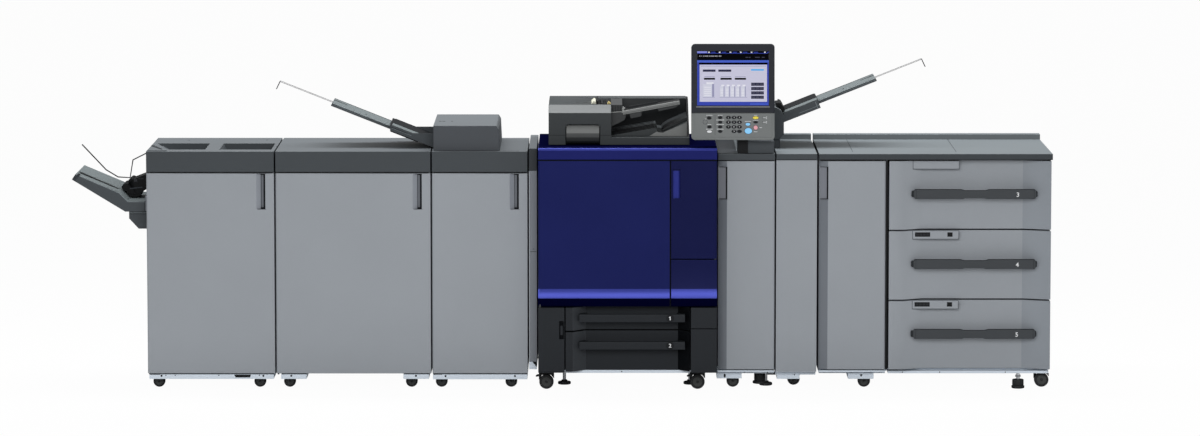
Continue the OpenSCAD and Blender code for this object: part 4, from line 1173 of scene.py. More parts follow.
@dataclass
class Trays(Assembly):
    """Cover inserter and bypass unit, each with a tray and a sliding extension."""

    title: str = "paper trays"
    inserter: PaperTray = PaperTray(
        root=(1227.0, 1029.0), away=-1.0, length=204.3, lift=0.3, front=150.0, plate=275.0, stop=245.0
    )
    bypass: PaperTray = PaperTray(
        root=(2734.0, 1127.0), away=1.0, length=172.1, lift=14.3, front=280.0, plate=268.0, stop=218.0
    )

    def build(self) -> None:
        """Skin the bodies and fixed trays and model the extensions."""
        body = self.skin("cover_inserter_body", INSERTER, 3.0, 3)
        # painted light on the body's upward faces and on slopes that face up and to the right
        Bench.paint_where(body, CAP_TOP_LIT, upward)
        Bench.paint_where(body, CAP_TOP_LIT, lambda p, n: n.z > 0.3 and n.x > 0.3)
        unit = self.skin("bypass_body", CAP, 3.0, 3)
        # painted light on the bypass body's upward faces
        Bench.paint_where(unit, CAP_TOP_LIT, upward)
        for node in ("cover_inserter_tray", "bypass_tray"):
            tray = self.skin(node, TRAY, 0.6)
            # painted shade: the trays' upward faces are darkened nearly to black
            Bench.paint_where(tray, TRAY_SHADE, lambda p, n: abs(n.y) < 0.3 and n.z > 0.5)
        self.build_extension("cover_inserter_extension", self.inserter)
        self.build_extension("bypass_extension", self.bypass)

    def build_extension(self, node: str, tray: PaperTray) -> None:
        """Model a tray's extension: plate, ribs, slot, screw and the wires of its stop.

        Args:
            node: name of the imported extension, which the piece replaces.
            tray: the tray's shape.
        """
        low, high = tray.lift, tray.lift + 15.0
        root, inner, tip = tray.length, tray.length - 38.0, tray.length + tray.plate
        near, far, middle = tray.front + 50, tray.front + 280, tray.front + 165
        plate = tray.bar("plate", (inner, low + 2), (tip, high - 0.6), (near + 2, far), 1.0)
        # painted light on the plate's top; the faces below keep the plain tray grey
        Bench.paint(plate, TRAY_TOP_LIT)
        Bench.paint_where(plate, TRAY, lambda p, n: n.z < 0.5)
        parts = [plate]
        # the light grey edge bars are painted highlights along the plate's edges; the near-black bar at the
        # far side is painted shade
        bars = (
            (TRAY, (inner, low), (tip - 2, high - 4), (near, near + 3), 0.4),
            (TRAY_EDGE_HIGHLIGHT, (inner, high - 3.6), (tip - 4, high - 1.8), (near - 0.6, near + 2), 0.4),
            (TRAY_EDGE_HIGHLIGHT, (root + 105, high - 8.6), (tip - 2, high - 7.4), (near - 0.6, near + 2), 0.4),
            (BLACK_AND_SHADE, (inner, low - 0.1), (tip - 1, low + 2.2), (near + 1, near + 12), 0.4),
            (TRAY_SHADE, (inner, high - 0.8), (tip - 2, high), (far - 12, far), 0.2),
            (TRAY_EDGE_HIGHLIGHT, (root + 6, high - 0.8), (tip - 60, high - 0.1), (near + 58, near + 61), 0.1),
            (BLACK_AND_SHADE, (tip - 62, high - 0.8), (tip - 0.5, high + 0.1), (middle + 30, middle + 42), 0.1),
            (BLACK_AND_SHADE, (tip - 30, high - 0.8), (tip - 0.5, high + 0.2), (middle + 26, middle + 46), 0.1),
            (BLACK_AND_SHADE, (tip - 3, low), (tip + 0.6, low + 7), (near + 2, near + 16), 0.4),
            (BLACK_AND_SHADE, (root + 118, high - 0.8), (root + 126, high + 0.1), (near + 70, near + 84), 0.1),
            (BLACK_AND_SHADE, (root + 5, high - 0.8), (root + 11, high + 0.15), (near + 11, near + 17), 0.1),
        )
        for finish, start, end, across, edge in bars:
            parts.append(Bench.paint(tray.bar("bar", start, end, across, edge), finish))
        above = tray.lift + 7.5
        start, end = tray.spot(tip - 12, above), tray.spot(tip + tray.stop, above)
        hook = (end[0] + tray.away * 15.0, end[1] - 32.0)
        sides = (middle - 20, middle + 20)
        for side in sides:
            wire = Bench.tube("wire", [LINE.at(x, side, z) for x, z in (start, end)], 1.1)
            parts.append(Bench.paint(wire, WIRE))
        bends = ((end, sides[0]), (hook, sides[0]), (hook, sides[1]), (end, sides[1]))
        loop = Bench.tube("hook", [LINE.at(x, side, z) for (x, z), side in bends], 1.7)
        parts.append(Bench.paint(loop, PIN))
        whole = Bench.join(node + "_plate", parts)
        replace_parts(whole, node)
        self.made.append(Bench.rides(whole, node))

    def dress(self) -> None:
        """Add guides, trim and marks."""
        for x in ((1245, 1256), (1259, 1272), (1298, 1305)):
            self.strip("inserter_mark", BLACK_AND_SHADE, x, (238, 252), (1134.8, 1135.4))
        for name, tray in (("inserter", self.inserter), ("bypass", self.bypass)):
            self.dress_tray(name, tray)
        self.block("bypass_mechanism", BLACK_AND_SHADE, (2700, 2724), (292, 420), (1193, 1211), 3.0)
        arm = [(2716, 1190), (2716, 1206), (2728, 1202), (2738, 1186), (2738, 1172), (2724, 1172)]
        self.prism("bypass_arm", BLACK_AND_SHADE, arm, "Y", (300, 560), 2.0)
        self.block("bypass_rear_cover", CAP, (2545, 2720), (639, 641.5), (1070, 1180))

    def dress_tray(self, name: str, tray: PaperTray) -> None:
        """Lay a tray's guide in the lighter tone of painted light, its rear half and side guide in the
        near-black of painted shade, and its inner ribs, with painted highlight lines.

        Args:
            name: first part of the pieces' names.
            tray: the tray's shape.
        """
        floor = tray.lift + 15.3 + 8 * math.cos(math.radians(tray.slope))
        end, front, lift = tray.length, tray.front, tray.lift
        face, side = (front - 0.8, front + 1), (front + 14.5, front + 40)
        bars = [
            ("guide", TRAY_TOP_LIT, (12, floor), (end - 1, floor + 1.6), (front + 14, front + 110), 0.5),
            ("rear_guide", TRAY_SHADE, (8, floor), (end - 4, floor + 3.2), (front + 112, front + 316), 0.8),
            ("side_guide", TRAY_SHADE, (end - 130, lift - 6), (end - 2, lift + 14), side, 1.0),
            ("lip", BLACK_AND_SHADE, (end - 5, lift + 16), (end + 1.2, floor), (front + 10, front + 316), 0.5),
            ("line", TRAY_EDGE_HIGHLIGHT, (end - 95, 11.5), (end - 2, 13.2), face, 0.1),
        ]
        if tray is self.bypass:
            bars.append(("tray_end", TRAY_EDGE_HIGHLIGHT, (end - 14, 1), (end - 11, 33), face, 0.2))
        for part, finish, low, high, across, edge in bars:
            self.add(tray.bar(f"{name}_{part}", low, high, across, edge), finish)


@dataclass
class Engine(Assembly):
    """The print engine with its doors, base and two paper drawers."""

    title: str = "engine"
    front: float = -100.0
    back: float = 690.0
    number_x: float = 2239.0
    number_y: float = -112.4
    band_z: float = 1000.0
    ridge: Span = (380.0, 460.0)
    undercut_z: float = 430.0

    def build(self) -> None:
        """Skin the covers, doors and drawers."""
        core = self.skin("engine_core", BASE)
        Bench.paint_where(core, BLUE_SIDE, lambda p, n: abs(n.x) > 0.8 or n.y > 0.8)
        top = self.skin("engine_top_cover", BLUE, 3.0, 3)
        Bench.paint_where(top, NAVY, upward)
        # painted highlight on the top cover's upward-facing front bevel
        Bench.paint_where(top, RIDGE_STRIPE_AND_HIGHLIGHT, lambda p, n: 0.25 < n.z < 0.95 and n.y < -0.2)
        Bench.paint_where(top, BAND, lambda p, n: n.y < -0.95 and p.z > self.band_z)
        recess, under, (low, high) = self.front + 30, self.undercut_z, self.ridge
        # the small door and the lower panel get the darker blue of painted shade
        doors = (("engine_door", BLUE), ("engine_small_door", BLUE_SHADED), ("engine_lower_panel", BLUE_SHADED))
        for node, finish in doors:
            door = self.skin(node, finish, 1.2, 2, True)
            # the ridge's upward slope: partly its lighter stripe, partly painted highlight
            Bench.paint_where(door, RIDGE_STRIPE_AND_HIGHLIGHT, lambda p, n: n.z > 0.3 and n.y < -0.3 and low < p.z < high)
            # painted shade on the downward faces below the ridge
            Bench.paint_where(door, UNDERCUT_SHADE, lambda p, n: n.z < -0.2 and p.z < under and p.y < recess)
        self.skin("engine_base", BASE)
        self.skin("engine_base_panels", BASE, 1.5)
        for number in (1, 2):
            front = self.skin(f"drawer_{number}_front", BASE, 1.5)
            # painted light on the flank that faces right, painted shade on the flank that faces left
            Bench.paint_where(front, BASE_FLANK_LIT, lambda p, n: n.y < -0.1 and n.x > 0.3)
            Bench.paint_where(front, BASE_JOINT_AND_SHADE, lambda p, n: n.y < -0.1 and n.x < -0.3)
            self.skin(f"drawer_{number}_handle", DARK_HANDLE, 3.0, 3)
            self.skin(f"drawer_{number}_tub", TUB, 0.6)

    def dress(self) -> None:
        """Add numbers, the latch, the grip's lining, seams, and the rear covers."""
        x, y = self.number_x, self.number_y
        for number, z in ((1, 323.0), (2, 205.0)):
            body = f"drawer_{number}"
            self.add(Bench.disc(f"{body}_patch", (x, y + 0.1, z), (35, 33), 0.6, 0.2, 40), BASE_PATCH, body)
            if number == 1:
                corners = [(-1.5, -8), (2.2, -8), (2.2, 8), (-0.6, 8), (-5, 4.6), (-5, 1.4), (-1.5, 3.6)]
                outline = [(x + across, z + up) for across, up in corners]
                digit = Bench.prism("drawer_1_number", outline, "Y", (y - 0.6, y), 0.1, 1)
            else:
                digit = Bench.figure("drawer_2_number", "2", (x, y - 0.4, z), 16.5, 0.5, 0.45)
            self.add(digit, INK, body)
        self.dress_latch()
        self.dress_doors()
        self.dress_back()

    def dress_latch(self) -> None:
        """Fit the latch in the base's left panel and the white rail under the drawers."""
        face = self.front
        cup = Bench.block("latch_cup", (1766, 1785.5), (face - 1.2, face + 0.5), (232, 306), 0.6)
        with editing(cup):
            bpy.ops.mesh.select_all(action="DESELECT")
        Bench.pick(cup, lambda p, n: n.y < -0.9)
        with editing(cup, whole=False):
            bpy.ops.mesh.inset(thickness=2.5 * MM, depth=0.0)
            bpy.ops.mesh.extrude_region_move(TRANSFORM_OT_translate={"value": (0.0, 1.2 * MM, 0.0)})
        # painted shade: the latch recess is darkened
        self.add(cup, BASE_JOINT_AND_SHADE)
        self.block("latch_lever", BASE, (1771, 1781), (face - 1.5, face + 0.2), (250, 290), 0.6)
        self.block("base_rail_front", RAIL, (1792, 2324), (-44, -36), (79, 91.5), 0.8)
        self.add(Bench.disc("base_rail_hole", (2033, -44.3, 85), (5, 5), 0.5, 0.1, 16), BLACK_AND_SHADE)
        self.strip("base_line_low", BASE_JOINT_AND_SHADE, (1676, 1787), (face - 0.3, face + 0.4), (93, 94))

    def dress_doors(self) -> None:
        """Line the small door's grip and add the seam under the top cover."""
        floor, rim = -88.5, -99.0
        lining = [(2248, floor), (2281, floor), (2281, rim), (2275, -89.6), (2252, -89.6), (2248, rim)]
        grip = Bench.prism("small_door_grip", lining, "Z", (833, 954), 0.4, 1)
        self.add(grip, BLUE_GRIP, "engine_small_door")
        self.strip("cover_seam", BASE_JOINT_AND_SHADE, (1677, 2438), (-99.8, -97), (996.6, 1000.6), 0.3)

    def dress_back(self) -> None:
        """Fit the rear cover's panels, louvres, screws and sockets."""
        back = self.back
        cover, left, right = (back - 0.5, back + 1.5), 1690, 2425
        panels = [
            ((left, 2050), cover, (400, 985)),
            ((2062, right), cover, (400, 985)),
            ((left, right), cover, (100, 385)),
        ]
        self.blocks("engine_rear_panels", REAR, panels, 1.2)
        louvre = (back + 1.2, back + 3.2)
        self.louvres("engine_louvres", REAR_DARK, [(1730, 2010)], louvre, 900, 12)
        self.louvres("engine_fan_louvres", REAR_DARK, [(2110, 2380)], louvre, 560, 10)
        head, near, middle, far = (4.5, 2.4), 1702, 2057, 2412
        upper = [(x, back + 2, z) for x in (near, 2038, 2074, far) for z in (415, 695, 970)]
        self.screws("engine_rear_screws", upper, head, 0.7)
        spots = ((near, 112), (far, 112), (near, 372), (far, 372), (middle, 372), (middle, 112))
        self.screws("engine_low_screws", [(x, back + 2, z) for x, z in spots], head, 0.7)
        self.block("power_inlet", BLACK_AND_SHADE, (2330, 2390), (back + 0.5, back + 5), (150, 190), 2.0)
        slot = ((back + 4.5, back + 5.4), (163, 177))
        for n, x in enumerate((2345, 2360, 2375)):
            self.strip(f"inlet_slot_{n}", BASE_JOINT_AND_SHADE, (x - 2, x + 2), *slot, 0.3)
        ports = [((2330 + 28 * n, 2350 + 28 * n), (back + 0.8, back + 3), (700, 714)) for n in range(3)]
        self.blocks("engine_ports", BLACK_AND_SHADE, ports, 0.8)


@dataclass
class DocumentFeeder(Assembly):
    """The document feeder on the engine."""

    title: str = "document feeder"
    body: str = "document_feeder"
    left: float = 1720.0
    head: float = 1988.0
    right: float = 2313.0
    front: float = 34.0
    top: float = 1219.0
    roof_z: float = 1200.0
    shoulder_z: float = 1185.0
    wall_z: float = 1090.0
    pocket: Span = (1796.0, 1937.0)

    def build(self) -> None:
        """Skin the body and model the trays."""
        body = self.skin("document_feeder_body", ADF, 3.0, 3)
        Bench.cut(body, Bench.block("well", (1924, self.head + 1), (124, 446), (1204, 1230), 0.5))
        Bench.paint_where(body, ADF_TOP, lambda p, n: n.z > 0.8 and p.z > self.roof_z)
        # painted light on the chamfer along the head's top front edge
        Bench.paint_where(body, ADF_CHAMFER_LIT, lambda p, n: n.z > 0.3 and n.y < -0.3 and p.z > self.shoulder_z)
        # painted shade: the back wall of the trays is darkened
        wall = (self.head, self.wall_z)
        Bench.paint_where(body, ADF_DARK_AND_SHADE, lambda p, n: n.y < -0.8 and p.x > wall[0] and p.z > wall[1])
        end = [(36, 1054), (460, 1054), (552, 1110), (552, 1217), (440, 1217), (60, 1096), (36, 1082)]
        self.prism("adf_end", BLACK_AND_SHADE, end, "X", (self.right + 0.5, self.right + 9.5), 1.5)
        self.build_output()
        self.build_input()

    def build_output(self) -> None:
        """Model the output tray with its ramp, bank and ribs."""
        head, right = self.head, self.right
        floor = [(head, 1085), (2160, 1085), (2187, 1104), (2180, 1121), (head, 1088)]
        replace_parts(self.prism("adf_output_floor", ADF, floor, "Y", (92, 443), 1.5), "document_feeder_tray")
        slope = [(2150, 1085), (2182, 1104), (2208, 1100), (right, 1145), (right, 1085)]
        ramp = self.prism("adf_output_ramp", ADF_PALE_AND_LIT, slope, "Y", (88, 440), 1.2)
        Bench.paint_where(ramp, ADF_TOP, lambda p, n: n.z > 0.5)
        bank = [(2206, 1101), (right, 1146), (right, 1160), (2240, 1128), (2214, 1112)]
        self.prism("adf_output_bank", ADF_DARK_AND_SHADE, bank, "Y", (150, 442), 1.0)
        bar = [(head + 4, 1088.6), (2172, 1119), (2172, 1122), (head + 4, 1091.5)]
        rib = Bench.prism("adf_output_rib", bar, "Y", (150, 154), 0.5)
        self.add(Bench.copies(rib, [(0, 60 * n, 0) for n in range(1, 5)]), BLACK_AND_SHADE)

    def build_input(self) -> None:
        """Model the input tray: its floor, front rail, side guides, hanging tabs and feed guide."""

        def along(x: float, lift: float = 0.0) -> Span:
            """Return a point of the tray's line at x."""
            return x, 1177.0 + (x - 2040.0) * 0.1835 + lift

        # painted shade: the input tray's floor is black where it lies in shade
        plate = [along(2036), along(2282), along(2282, 5), along(2036, 5)]
        self.prism("adf_input_floor", BLACK_AND_SHADE, plate, "Y", (104, 322), 1.0)
        rail = [along(2038), along(2283), along(2280, 16), along(2040, 16)]
        self.prism("adf_input_rail", ADF_PALE_AND_LIT, rail, "Y", (86, 106), 1.6, 3)
        groove = [along(2046, 5), along(2274, 5), along(2274, 6.2), along(2046, 6.2)]
        self.prism("adf_rail_line", ADF, groove, "Y", (85.6, 87), 0.2)
        near = [(2066, 1181), (2118, 1190), (2117, 1171), (2098, 1166), (2072, 1161)]
        far = [(2188, 1202), (2281, 1220), (2258, 1206), (2214, 1197), (2192, 1192)]
        tabs = [Bench.prism("tab", near, "Y", (88, 102), 1.2), Bench.prism("tab", far, "Y", (88, 130), 1.2)]
        self.add(Bench.join("adf_tabs", tabs), ADF_MID)
        nose = [(1986, 1187), (2032, 1190), (2050, 1178), (2051, 1166), (2044, 1153)]
        nose += [(2026, 1143), (1986, 1124)]
        guide = self.prism("adf_feed_guide", ADF_MID, nose, "Y", (92, 430), 2.0, 3)
        # painted light on the feed guide's upward faces
        Bench.paint_where(guide, ADF_PALE_AND_LIT, lambda p, n: n.z > 0.4)
        self.block("adf_feed_block", ADF_MID, (1987, 2036), (112, 424), (1186, 1218), 1.5)
        rib = Bench.block("adf_feed_rib", (1992, 1994), (110.5, 113), (1188, 1216), 0.4, 1)
        self.add(Bench.copies(rib, [(7 * n, 0, 0) for n in range(1, 7)]), BLACK_AND_SHADE)
        # the side guides are darkened with painted shade
        side = [along(2060, 4), along(2190, 4), along(2188, 13), along(2064, 15)]
        guides = [Bench.prism("guide", side, "Y", (y, y + 4), 0.8) for y in (150.0, 296.0)]
        self.add(Bench.join("adf_side_guides", guides), ADF_DARK_AND_SHADE)

    def dress(self) -> None:
        """Add the pocket's rounded cover, seams, marks, lever and rollers."""
        self.dress_pocket()
        left, front, top = self.left, self.front, self.top
        joint = (1093.2, 1094.6)
        seam = Bench.block("adf_seam", (left - 0.2, left + 72), (front - 0.3, front + 0.4), joint, 0.1, 1)
        self.add(Bench.copies(seam, [(221, 0, 0)]), BLACK_AND_SHADE)
        self.strip("adf_side_seam", BLACK_AND_SHADE, (left - 0.3, left + 0.4), (front, 520), joint)
        marks = [(x, (206, 222), (top - 0.4, top)) for x in ((1837, 1848), (1869, 1887))]
        self.blocks("adf_marks", BLACK_AND_SHADE, marks, 0.1)
        self.strip("adf_feed_well", BLACK_AND_SHADE, (1924.5, self.head + 0.5), (124.5, 445.5), (1204.2, 1206), 0.5)
        lever = [(1902, top - 0.2), (1905, 1225), (1913, 1232), (1921, 1228), (1924, top - 0.2)]
        self.prism("adf_lever", CREAM, lever, "Y", (150, 300), 1.5)
        self.block("adf_lever_hinge", BLACK_AND_SHADE, (1925, 1932), (150, 420), (1206, 1230), 1.2)
        roller = Bench.rod("adf_roller", (1948, 300, 1212), 6.4, 240, "Y", 1.0, 24)
        self.add(Bench.copies(roller, [(24, 0, 0)]), BLACK_AND_SHADE)
        latch = [(1972, 1206), (1970, 1216), (1977, 1226), (1986, top), (1987, 1206)]
        self.prism("adf_latch", AMBER, latch, "Y", (160, 220), 1.0)
        places = [(x, 553.2, z) for z in (1120, 1190) for x in (1760, 2240)]
        self.screws("adf_screw", places, (4, 1.6), 0.4)

    def dress_pocket(self) -> None:
        """Fit the barrel-shaped cover, lit on top and shaded below with painted light and shade, and the
        rounded upper corners of the front pocket.
        """
        barrel = [
            (78, 1052.5), (60, 1057), (47, 1068), (41, 1084), (39, 1102),
            (42, 1118), (50, 1131), (64, 1139), (78, 1140),
        ]
        cover = Bench.prism("adf_pocket_cover", barrel, "X", self.pocket, 0.6, 1)
        Bench.smooth(cover, 60.0)
        # painted light on the cover's upper faces, then painted shade in darker steps the further a face
        # turns downward
        self.add(cover, ADF_PALE_AND_LIT)
        Bench.paint_where(cover, ADF_HALF_SHADE, lambda p, n: n.z < 0.05)
        Bench.paint_where(cover, ADF_MID, lambda p, n: n.z < -0.3)
        Bench.paint_where(cover, ADF_DARK_AND_SHADE, lambda p, n: n.z < -0.7)
        x, z, radius, rim = self.pocket[0] + 12, 1125, 15, self.pocket[0] - 3.2
        bend = [math.pi / 12 * n for n in range(1, 6)]
        corner = [(rim, z + radius + 0.2), (x, z + radius + 0.2)]
        corner += [(x - radius * math.sin(a), z + radius * math.cos(a)) for a in bend] + [(rim, z)]
        mirrored = [(sum(self.pocket) - across, up) for across, up in corner]
        deep = (self.front + 0.2, 78)
        pair = [Bench.prism("corner", outline, "Y", deep, 0.0) for outline in (corner, mirrored)]
        self.add(Bench.join("adf_pocket_corners", pair), ADF)


@dataclass
class ControlPanel(Assembly):
    """The tilting control panel on its stand."""

    title: str = "control panel"
    x: float = 2329.0
    y: float = -60.0
    z: float = 1082.0
    lean: float = 6.0
    key_top: float = 113.5
    desk_z: float = 1016.8
    back: float = 44.0
    stand_split: float = 2566.0

    def build(self) -> None:
        """Skin the stand, case, screen and keys, with painted shade on the stand's front and a painted shadow
        on the board under the panel.
        """
        stand = self.skin("panel_stand", CAP, 1.5)
        # painted shade: the stand's front faces left of the split are black
        Bench.paint_where(stand, BLACK_AND_SHADE, lambda p, n: p.x < self.stand_split and n.y < -0.2)
        desk = self.desk_z
        # painted shadow: a dark plate on the board under the panel, and a black line along the stand's foot
        self.strip("panel_mat", CAP_DARK_AND_SHADE, (2446, 2527), (9, 690), (desk, desk + 0.8), 0.2)
        self.strip("panel_foot_line", BLACK_AND_SHADE, (2440, 2683), (6.6, 9.2), (desk + 0.1, desk + 2.8), 0.3)
        case = self.skin("panel_case", BEZEL, 2.0)
        tilt = math.radians(self.lean)
        split = LINE.at(self.x, self.y, self.z + self.key_top)
        Bench.divide(case, split, (0.0, -math.sin(tilt), math.cos(tilt)))
        Bench.paint_where(case, KEYS, self._on_key_field)
        self.skin("panel_screen", SCREEN, 0.0)
        self.skin("panel_keys", KEYS, 0.5)

    def _on_key_field(self, point: Vector, normal: Vector) -> bool:
        """Tell whether a face of the case belongs to the key field, below the screen."""
        tilt = math.radians(self.lean)
        height = (point.z - self.z) * math.cos(tilt) + (point.y - self.y) * math.sin(tilt)
        return point.y < self.y + 14 and height < self.key_top and normal.y < 0.3

    def mount(self, name: str, parts: Sequence[Piece]) -> Piece:
        """Join upright parts, lean them back with the panel and let them ride on it.

        Args:
            name: name of the piece.
            parts: its painted parts.

        Returns:
            The piece.
        """
        piece = Bench.join(name, parts)
        Bench.leaned(piece, -self.lean, (self.x, self.y, self.z))
        self.made.append(Bench.rides(piece, "control_panel"))
        return piece

    def tile(self, x: Span, z: Span, lift: float, finish: Finish, base: float = 1.5) -> Piece:
        """Make a thin plate on the screen or the key field.

        Args:
            x: its reach across, from the case's left edge.
            z: its reach upwards, from the case's foot.
            lift: how far it stands proud of its base.
            finish: its finish.
            base: depth of the face that it lies on, from the case's front.

        Returns:
            The plate, upright.
        """
        across, up = (self.x + x[0], self.x + x[1]), (self.z + z[0], self.z + z[1])
        face = self.y + base
        plate = Bench.block("tile", across, (face - lift, face + 0.1), up, min(0.08, lift / 3), 1)
        return Bench.paint(plate, finish)

    def dress(self) -> None:
        """Draw the screen's plain pages, set the keys and lamps, and trim the case."""
        self.draw_screen()
        self.set_keys()
        self.trim_case()

    def draw_screen(self) -> None:
        """Lay out a generic page: frame, title bar, buttons, stacks and a key block."""
        tile = self.tile
        screen, page = (25, 330), (35.5, 322.5)
        parts = [
            tile(screen, (148, 380), 0.15, SCREEN_BLACK),
            tile(screen, (147.5, 340), 0.30, SCREEN_BLUE),
            tile(screen, (330.5, 340), 0.36, SCREEN_SKY),
            tile((32, 325), (322, 330), 0.45, SCREEN_BLACK),
            tile(page, (163, 321), 0.45, SCREEN_LILAC),
            tile((39, 318), (314, 316), 0.50, SCREEN_MAUVE),
            tile((25, 68), (371, 378), 0.30, SCREEN_CHIP),
            tile((25, 326), (368.5, 370.5), 0.25, SCREEN_BLUE),
        ]
        for x in (72, 117, 163, 207, 253, 310):
            parts.append(tile((x, x + 7), (371.5, 376.5), 0.35, SCREEN_WHITE))
            parts.append(tile((x + 13, x + 31), (372.5, 375.5), 0.30, SCREEN_BLUE))
        heading = ((34, 5), (43, 3), (50, 6), (58, 14), (75, 4), (81, 16), (99, 13), (116, 12))
        parts += [tile((x, x + w), (355.5, 360), 0.25, SCREEN_DIM) for x, w in heading]
        status = ((231, 10), (244, 8), (272, 20), (300, 12))
        parts += [tile((x, x + w), (351, 354), 0.20, SCREEN_SLATE) for x, w in status]
        parts += [tile(button, (291, 300.5), 0.55, SCREEN_BUTTON) for button in ((49, 103), (115, 170))]
        parts.append(tile((254, 309), (296, 302), 0.60, SCREEN_CYAN))
        for left, right in ((54, 101), (124, 172), (185, 233)):
            parts.append(tile((left + 2, right - 2), (269.5, 271.5), 0.50, SCREEN_MAUVE))
            parts.append(tile((left, right), (257, 265), 0.60, SCREEN_BLACK))
        parts += self.stack(50, 47, 243)
        for number in range(5):
            parts += self.stack(122 + 22.6 * number, 19, 233)
        for z in (231 - 18.4 * row for row in range(4)):
            parts.append(tile((255, 309), (z, z + 13.5), 0.55, SCREEN_BUTTON))
            for x in (258 + 17.4 * column for column in range(3)):
                parts.append(tile((x, x + 13.6), (z + 3.5, z + 10), 0.62, SCREEN_SLATE))
        parts += [tile(x, (181, 182.5), 0.50, SCREEN_MAUVE) for x in ((120, 238), (48, 100))]
        parts.append(tile((250, 326), (151, 156), 0.36, SCREEN_SKY))
        self.mount("screen_page", parts)

    def stack(self, x: float, w: float, top: float) -> list[Piece]:
        """Draw one paper stack.

        Args:
            x: its left side, from the case's left edge.
            w: its width.
            top: height of its top, from the case's foot.

        Returns:
            Its tiles.
        """
        parts = [
            self.tile((x, x + w), (184, top - 4), 0.55, SCREEN_PALE),
            self.tile((x + w * 0.82, x + w), (184, top - 4), 0.60, SCREEN_MAUVE),
            self.tile((x + w * 0.30, x + w * 0.95), (top - 4, top + 3), 0.60, SCREEN_WHITE),
        ]
        for level in range(5):
            z = 189 + level * (top - 200) / 5
            parts.append(self.tile((x + w * 0.10, x + w * 0.72), (z, z + 3.2), 0.62, SCREEN_WHITE))
        return parts

    def key(self, x: float, z: float, size: Span, finish: Finish, proud: float = 1.4) -> Piece:
        """Make one oval key of the key field.

        Args:
            x: its middle along the line.
            z: its middle upwards.
            size: its width and height.
            finish: finish of the cap.
            proud: how far the cap stands out.

        Returns:
            The key with its dark ring.
        """
        ring = Bench.disc("ring", (x, self.y + 0.3, z), (size[0] + 3.6, size[1] + 3.6), 0.6, 0.2)
        cap = Bench.disc("cap", (x, self.y + 0.5 - proud, z), size, proud + 0.2, 0.6)
        return Bench.join("key", [Bench.paint(ring, KEY_RING), Bench.paint(cap, finish)])

    def mark(self, x: float, z: float, w: float, h: float, finish: Finish = INK) -> Piece:
        """Make a short printed bar about a point of the key field."""
        left, low = x - self.x - w / 2, z - self.z - h / 2
        return self.tile((left, left + w), (low, low + h), 0.12, finish, 0.5)

    def number(self, text: str, x: float, z: float) -> Piece:
        """Make one digit on a key."""
        return Bench.paint(Bench.figure("digit", text, (x, self.y - 0.95, z), 6.0, 0.3), INK)

    def set_keys(self) -> None:
        """Set keys, their printed marks and the lamps."""
        rows, columns, lamp_x = (1178, 1158, 1138, 1119), (2487, 2511, 2534), 2632
        pads = [(x, z) for z in rows for x in columns]
        del pads[9]
        keys = [(2405, 1176, (18, 12), KEY_BLACK), (2406, 1138, (17, 12), KEY_BLACK)]
        keys += [(2388, 1159, (17, 17), KEYS), (2406, 1118, (22, 11), INK)]
        keys += [(2452, z, (17, 11), KEY_BLACK) for z in rows]
        keys += [(x, z, (19, 12), KEY_BLACK) for x, z in pads]
        keys += [(2570, 1149, (20, 12), KEY_BLUE), (2572, 1121, (31, 25), KEY_BLUE, 2.0)]
        keys += [(2603, 1177, (25, 12), KEY_YELLOW), (2603, 1158, (18, 9), KEY_BLACK)]
        keys += [(2603, 1135, (18, 18), KEY_PINK, 1.8)]
        marks = [(2452, z, 8, 1.6) for z in rows]
        marks += [(2534, 1119, 8, 1.6, KEY_RED), (2572, 1121, 3, 8)]
        labels = (
            (2406, 1187.5, 26), (2452, 1187.5, 20), (2452, 1167.5, 34), (2452, 1148.5, 32),
            (2452, 1128.5, 28), (2406, 1148, 16), (2406, 1128.5, 28), (2570, 1161.5, 26),
            (2603, 1187.5, 14), (2603, 1166.5, 22), (2603, 1117.5, 15), (2625, 1135, 11),
            (2390, 1172, 6), (2641, 1177, 12), (2641, 1158, 13),
        )
        marks += [(x, z, width, 1.7) for x, z, width in labels]
        for z in (1180, 1173, 1161, 1155):
            marks += [(lamp_x, z, 2.6, 2.6, KEY_RING), (lamp_x + 17, z, 4.0, 2.6)]
        marks += [(x, 1146, 0.8, 86, KEY_RING) for x in (2427, 2432)]
        parts = [self.key(*key) for key in keys] + [self.mark(*mark) for mark in marks]
        parts += [self.number(digit, x, z) for digit, (x, z) in zip("1234567890", pads)]
        self.mount("key_field", parts)

    def trim_case(self) -> None:
        """Frame the key field, add the seams round the screen with a painted highlight line below it, and the
        back's louvres and screws.
        """
        left, low, right, back = 11.2, 11.2, 343.8, self.y + self.back
        parts = [
            self.tile((left, left + 2.1), (low, 116), 0.55, KEYS, 0.5),
            self.tile((right - 2.1, right), (low, 116), 0.55, KEYS, 0.5),
            self.tile((left, right), (low, low + 2.1), 0.55, KEYS, 0.5),
            self.tile((21, 334), (139, 143.5), 0.6, BEZEL_HIGHLIGHT, 0.2),
            self.tile((0.6, 354.4), (114, 116), 0.4, BLACK_AND_SHADE, 0.2),
        ]
        x, z = (self.x + 60, self.x + 160), (self.z + 330, self.z + 333)
        bar = Bench.paint(Bench.block("louvre", x, (back - 0.6, back + 1), z, 0.5, 1), BLACK_AND_SHADE)
        parts.append(Bench.copies(bar, [(0, 0, -9.0 * n) for n in range(1, 8)]))
        screw = Bench.rod("screw", (self.x + 30, back + 0.2, self.z + 345), 4, 2.0, "Y", 0.5, 16)
        moves = [(295, 0, 0), (0, 0, -180), (295, 0, -180)]
        parts.append(Bench.copies(Bench.paint(screw, STEEL), moves))
        self.mount("case_trim", parts)


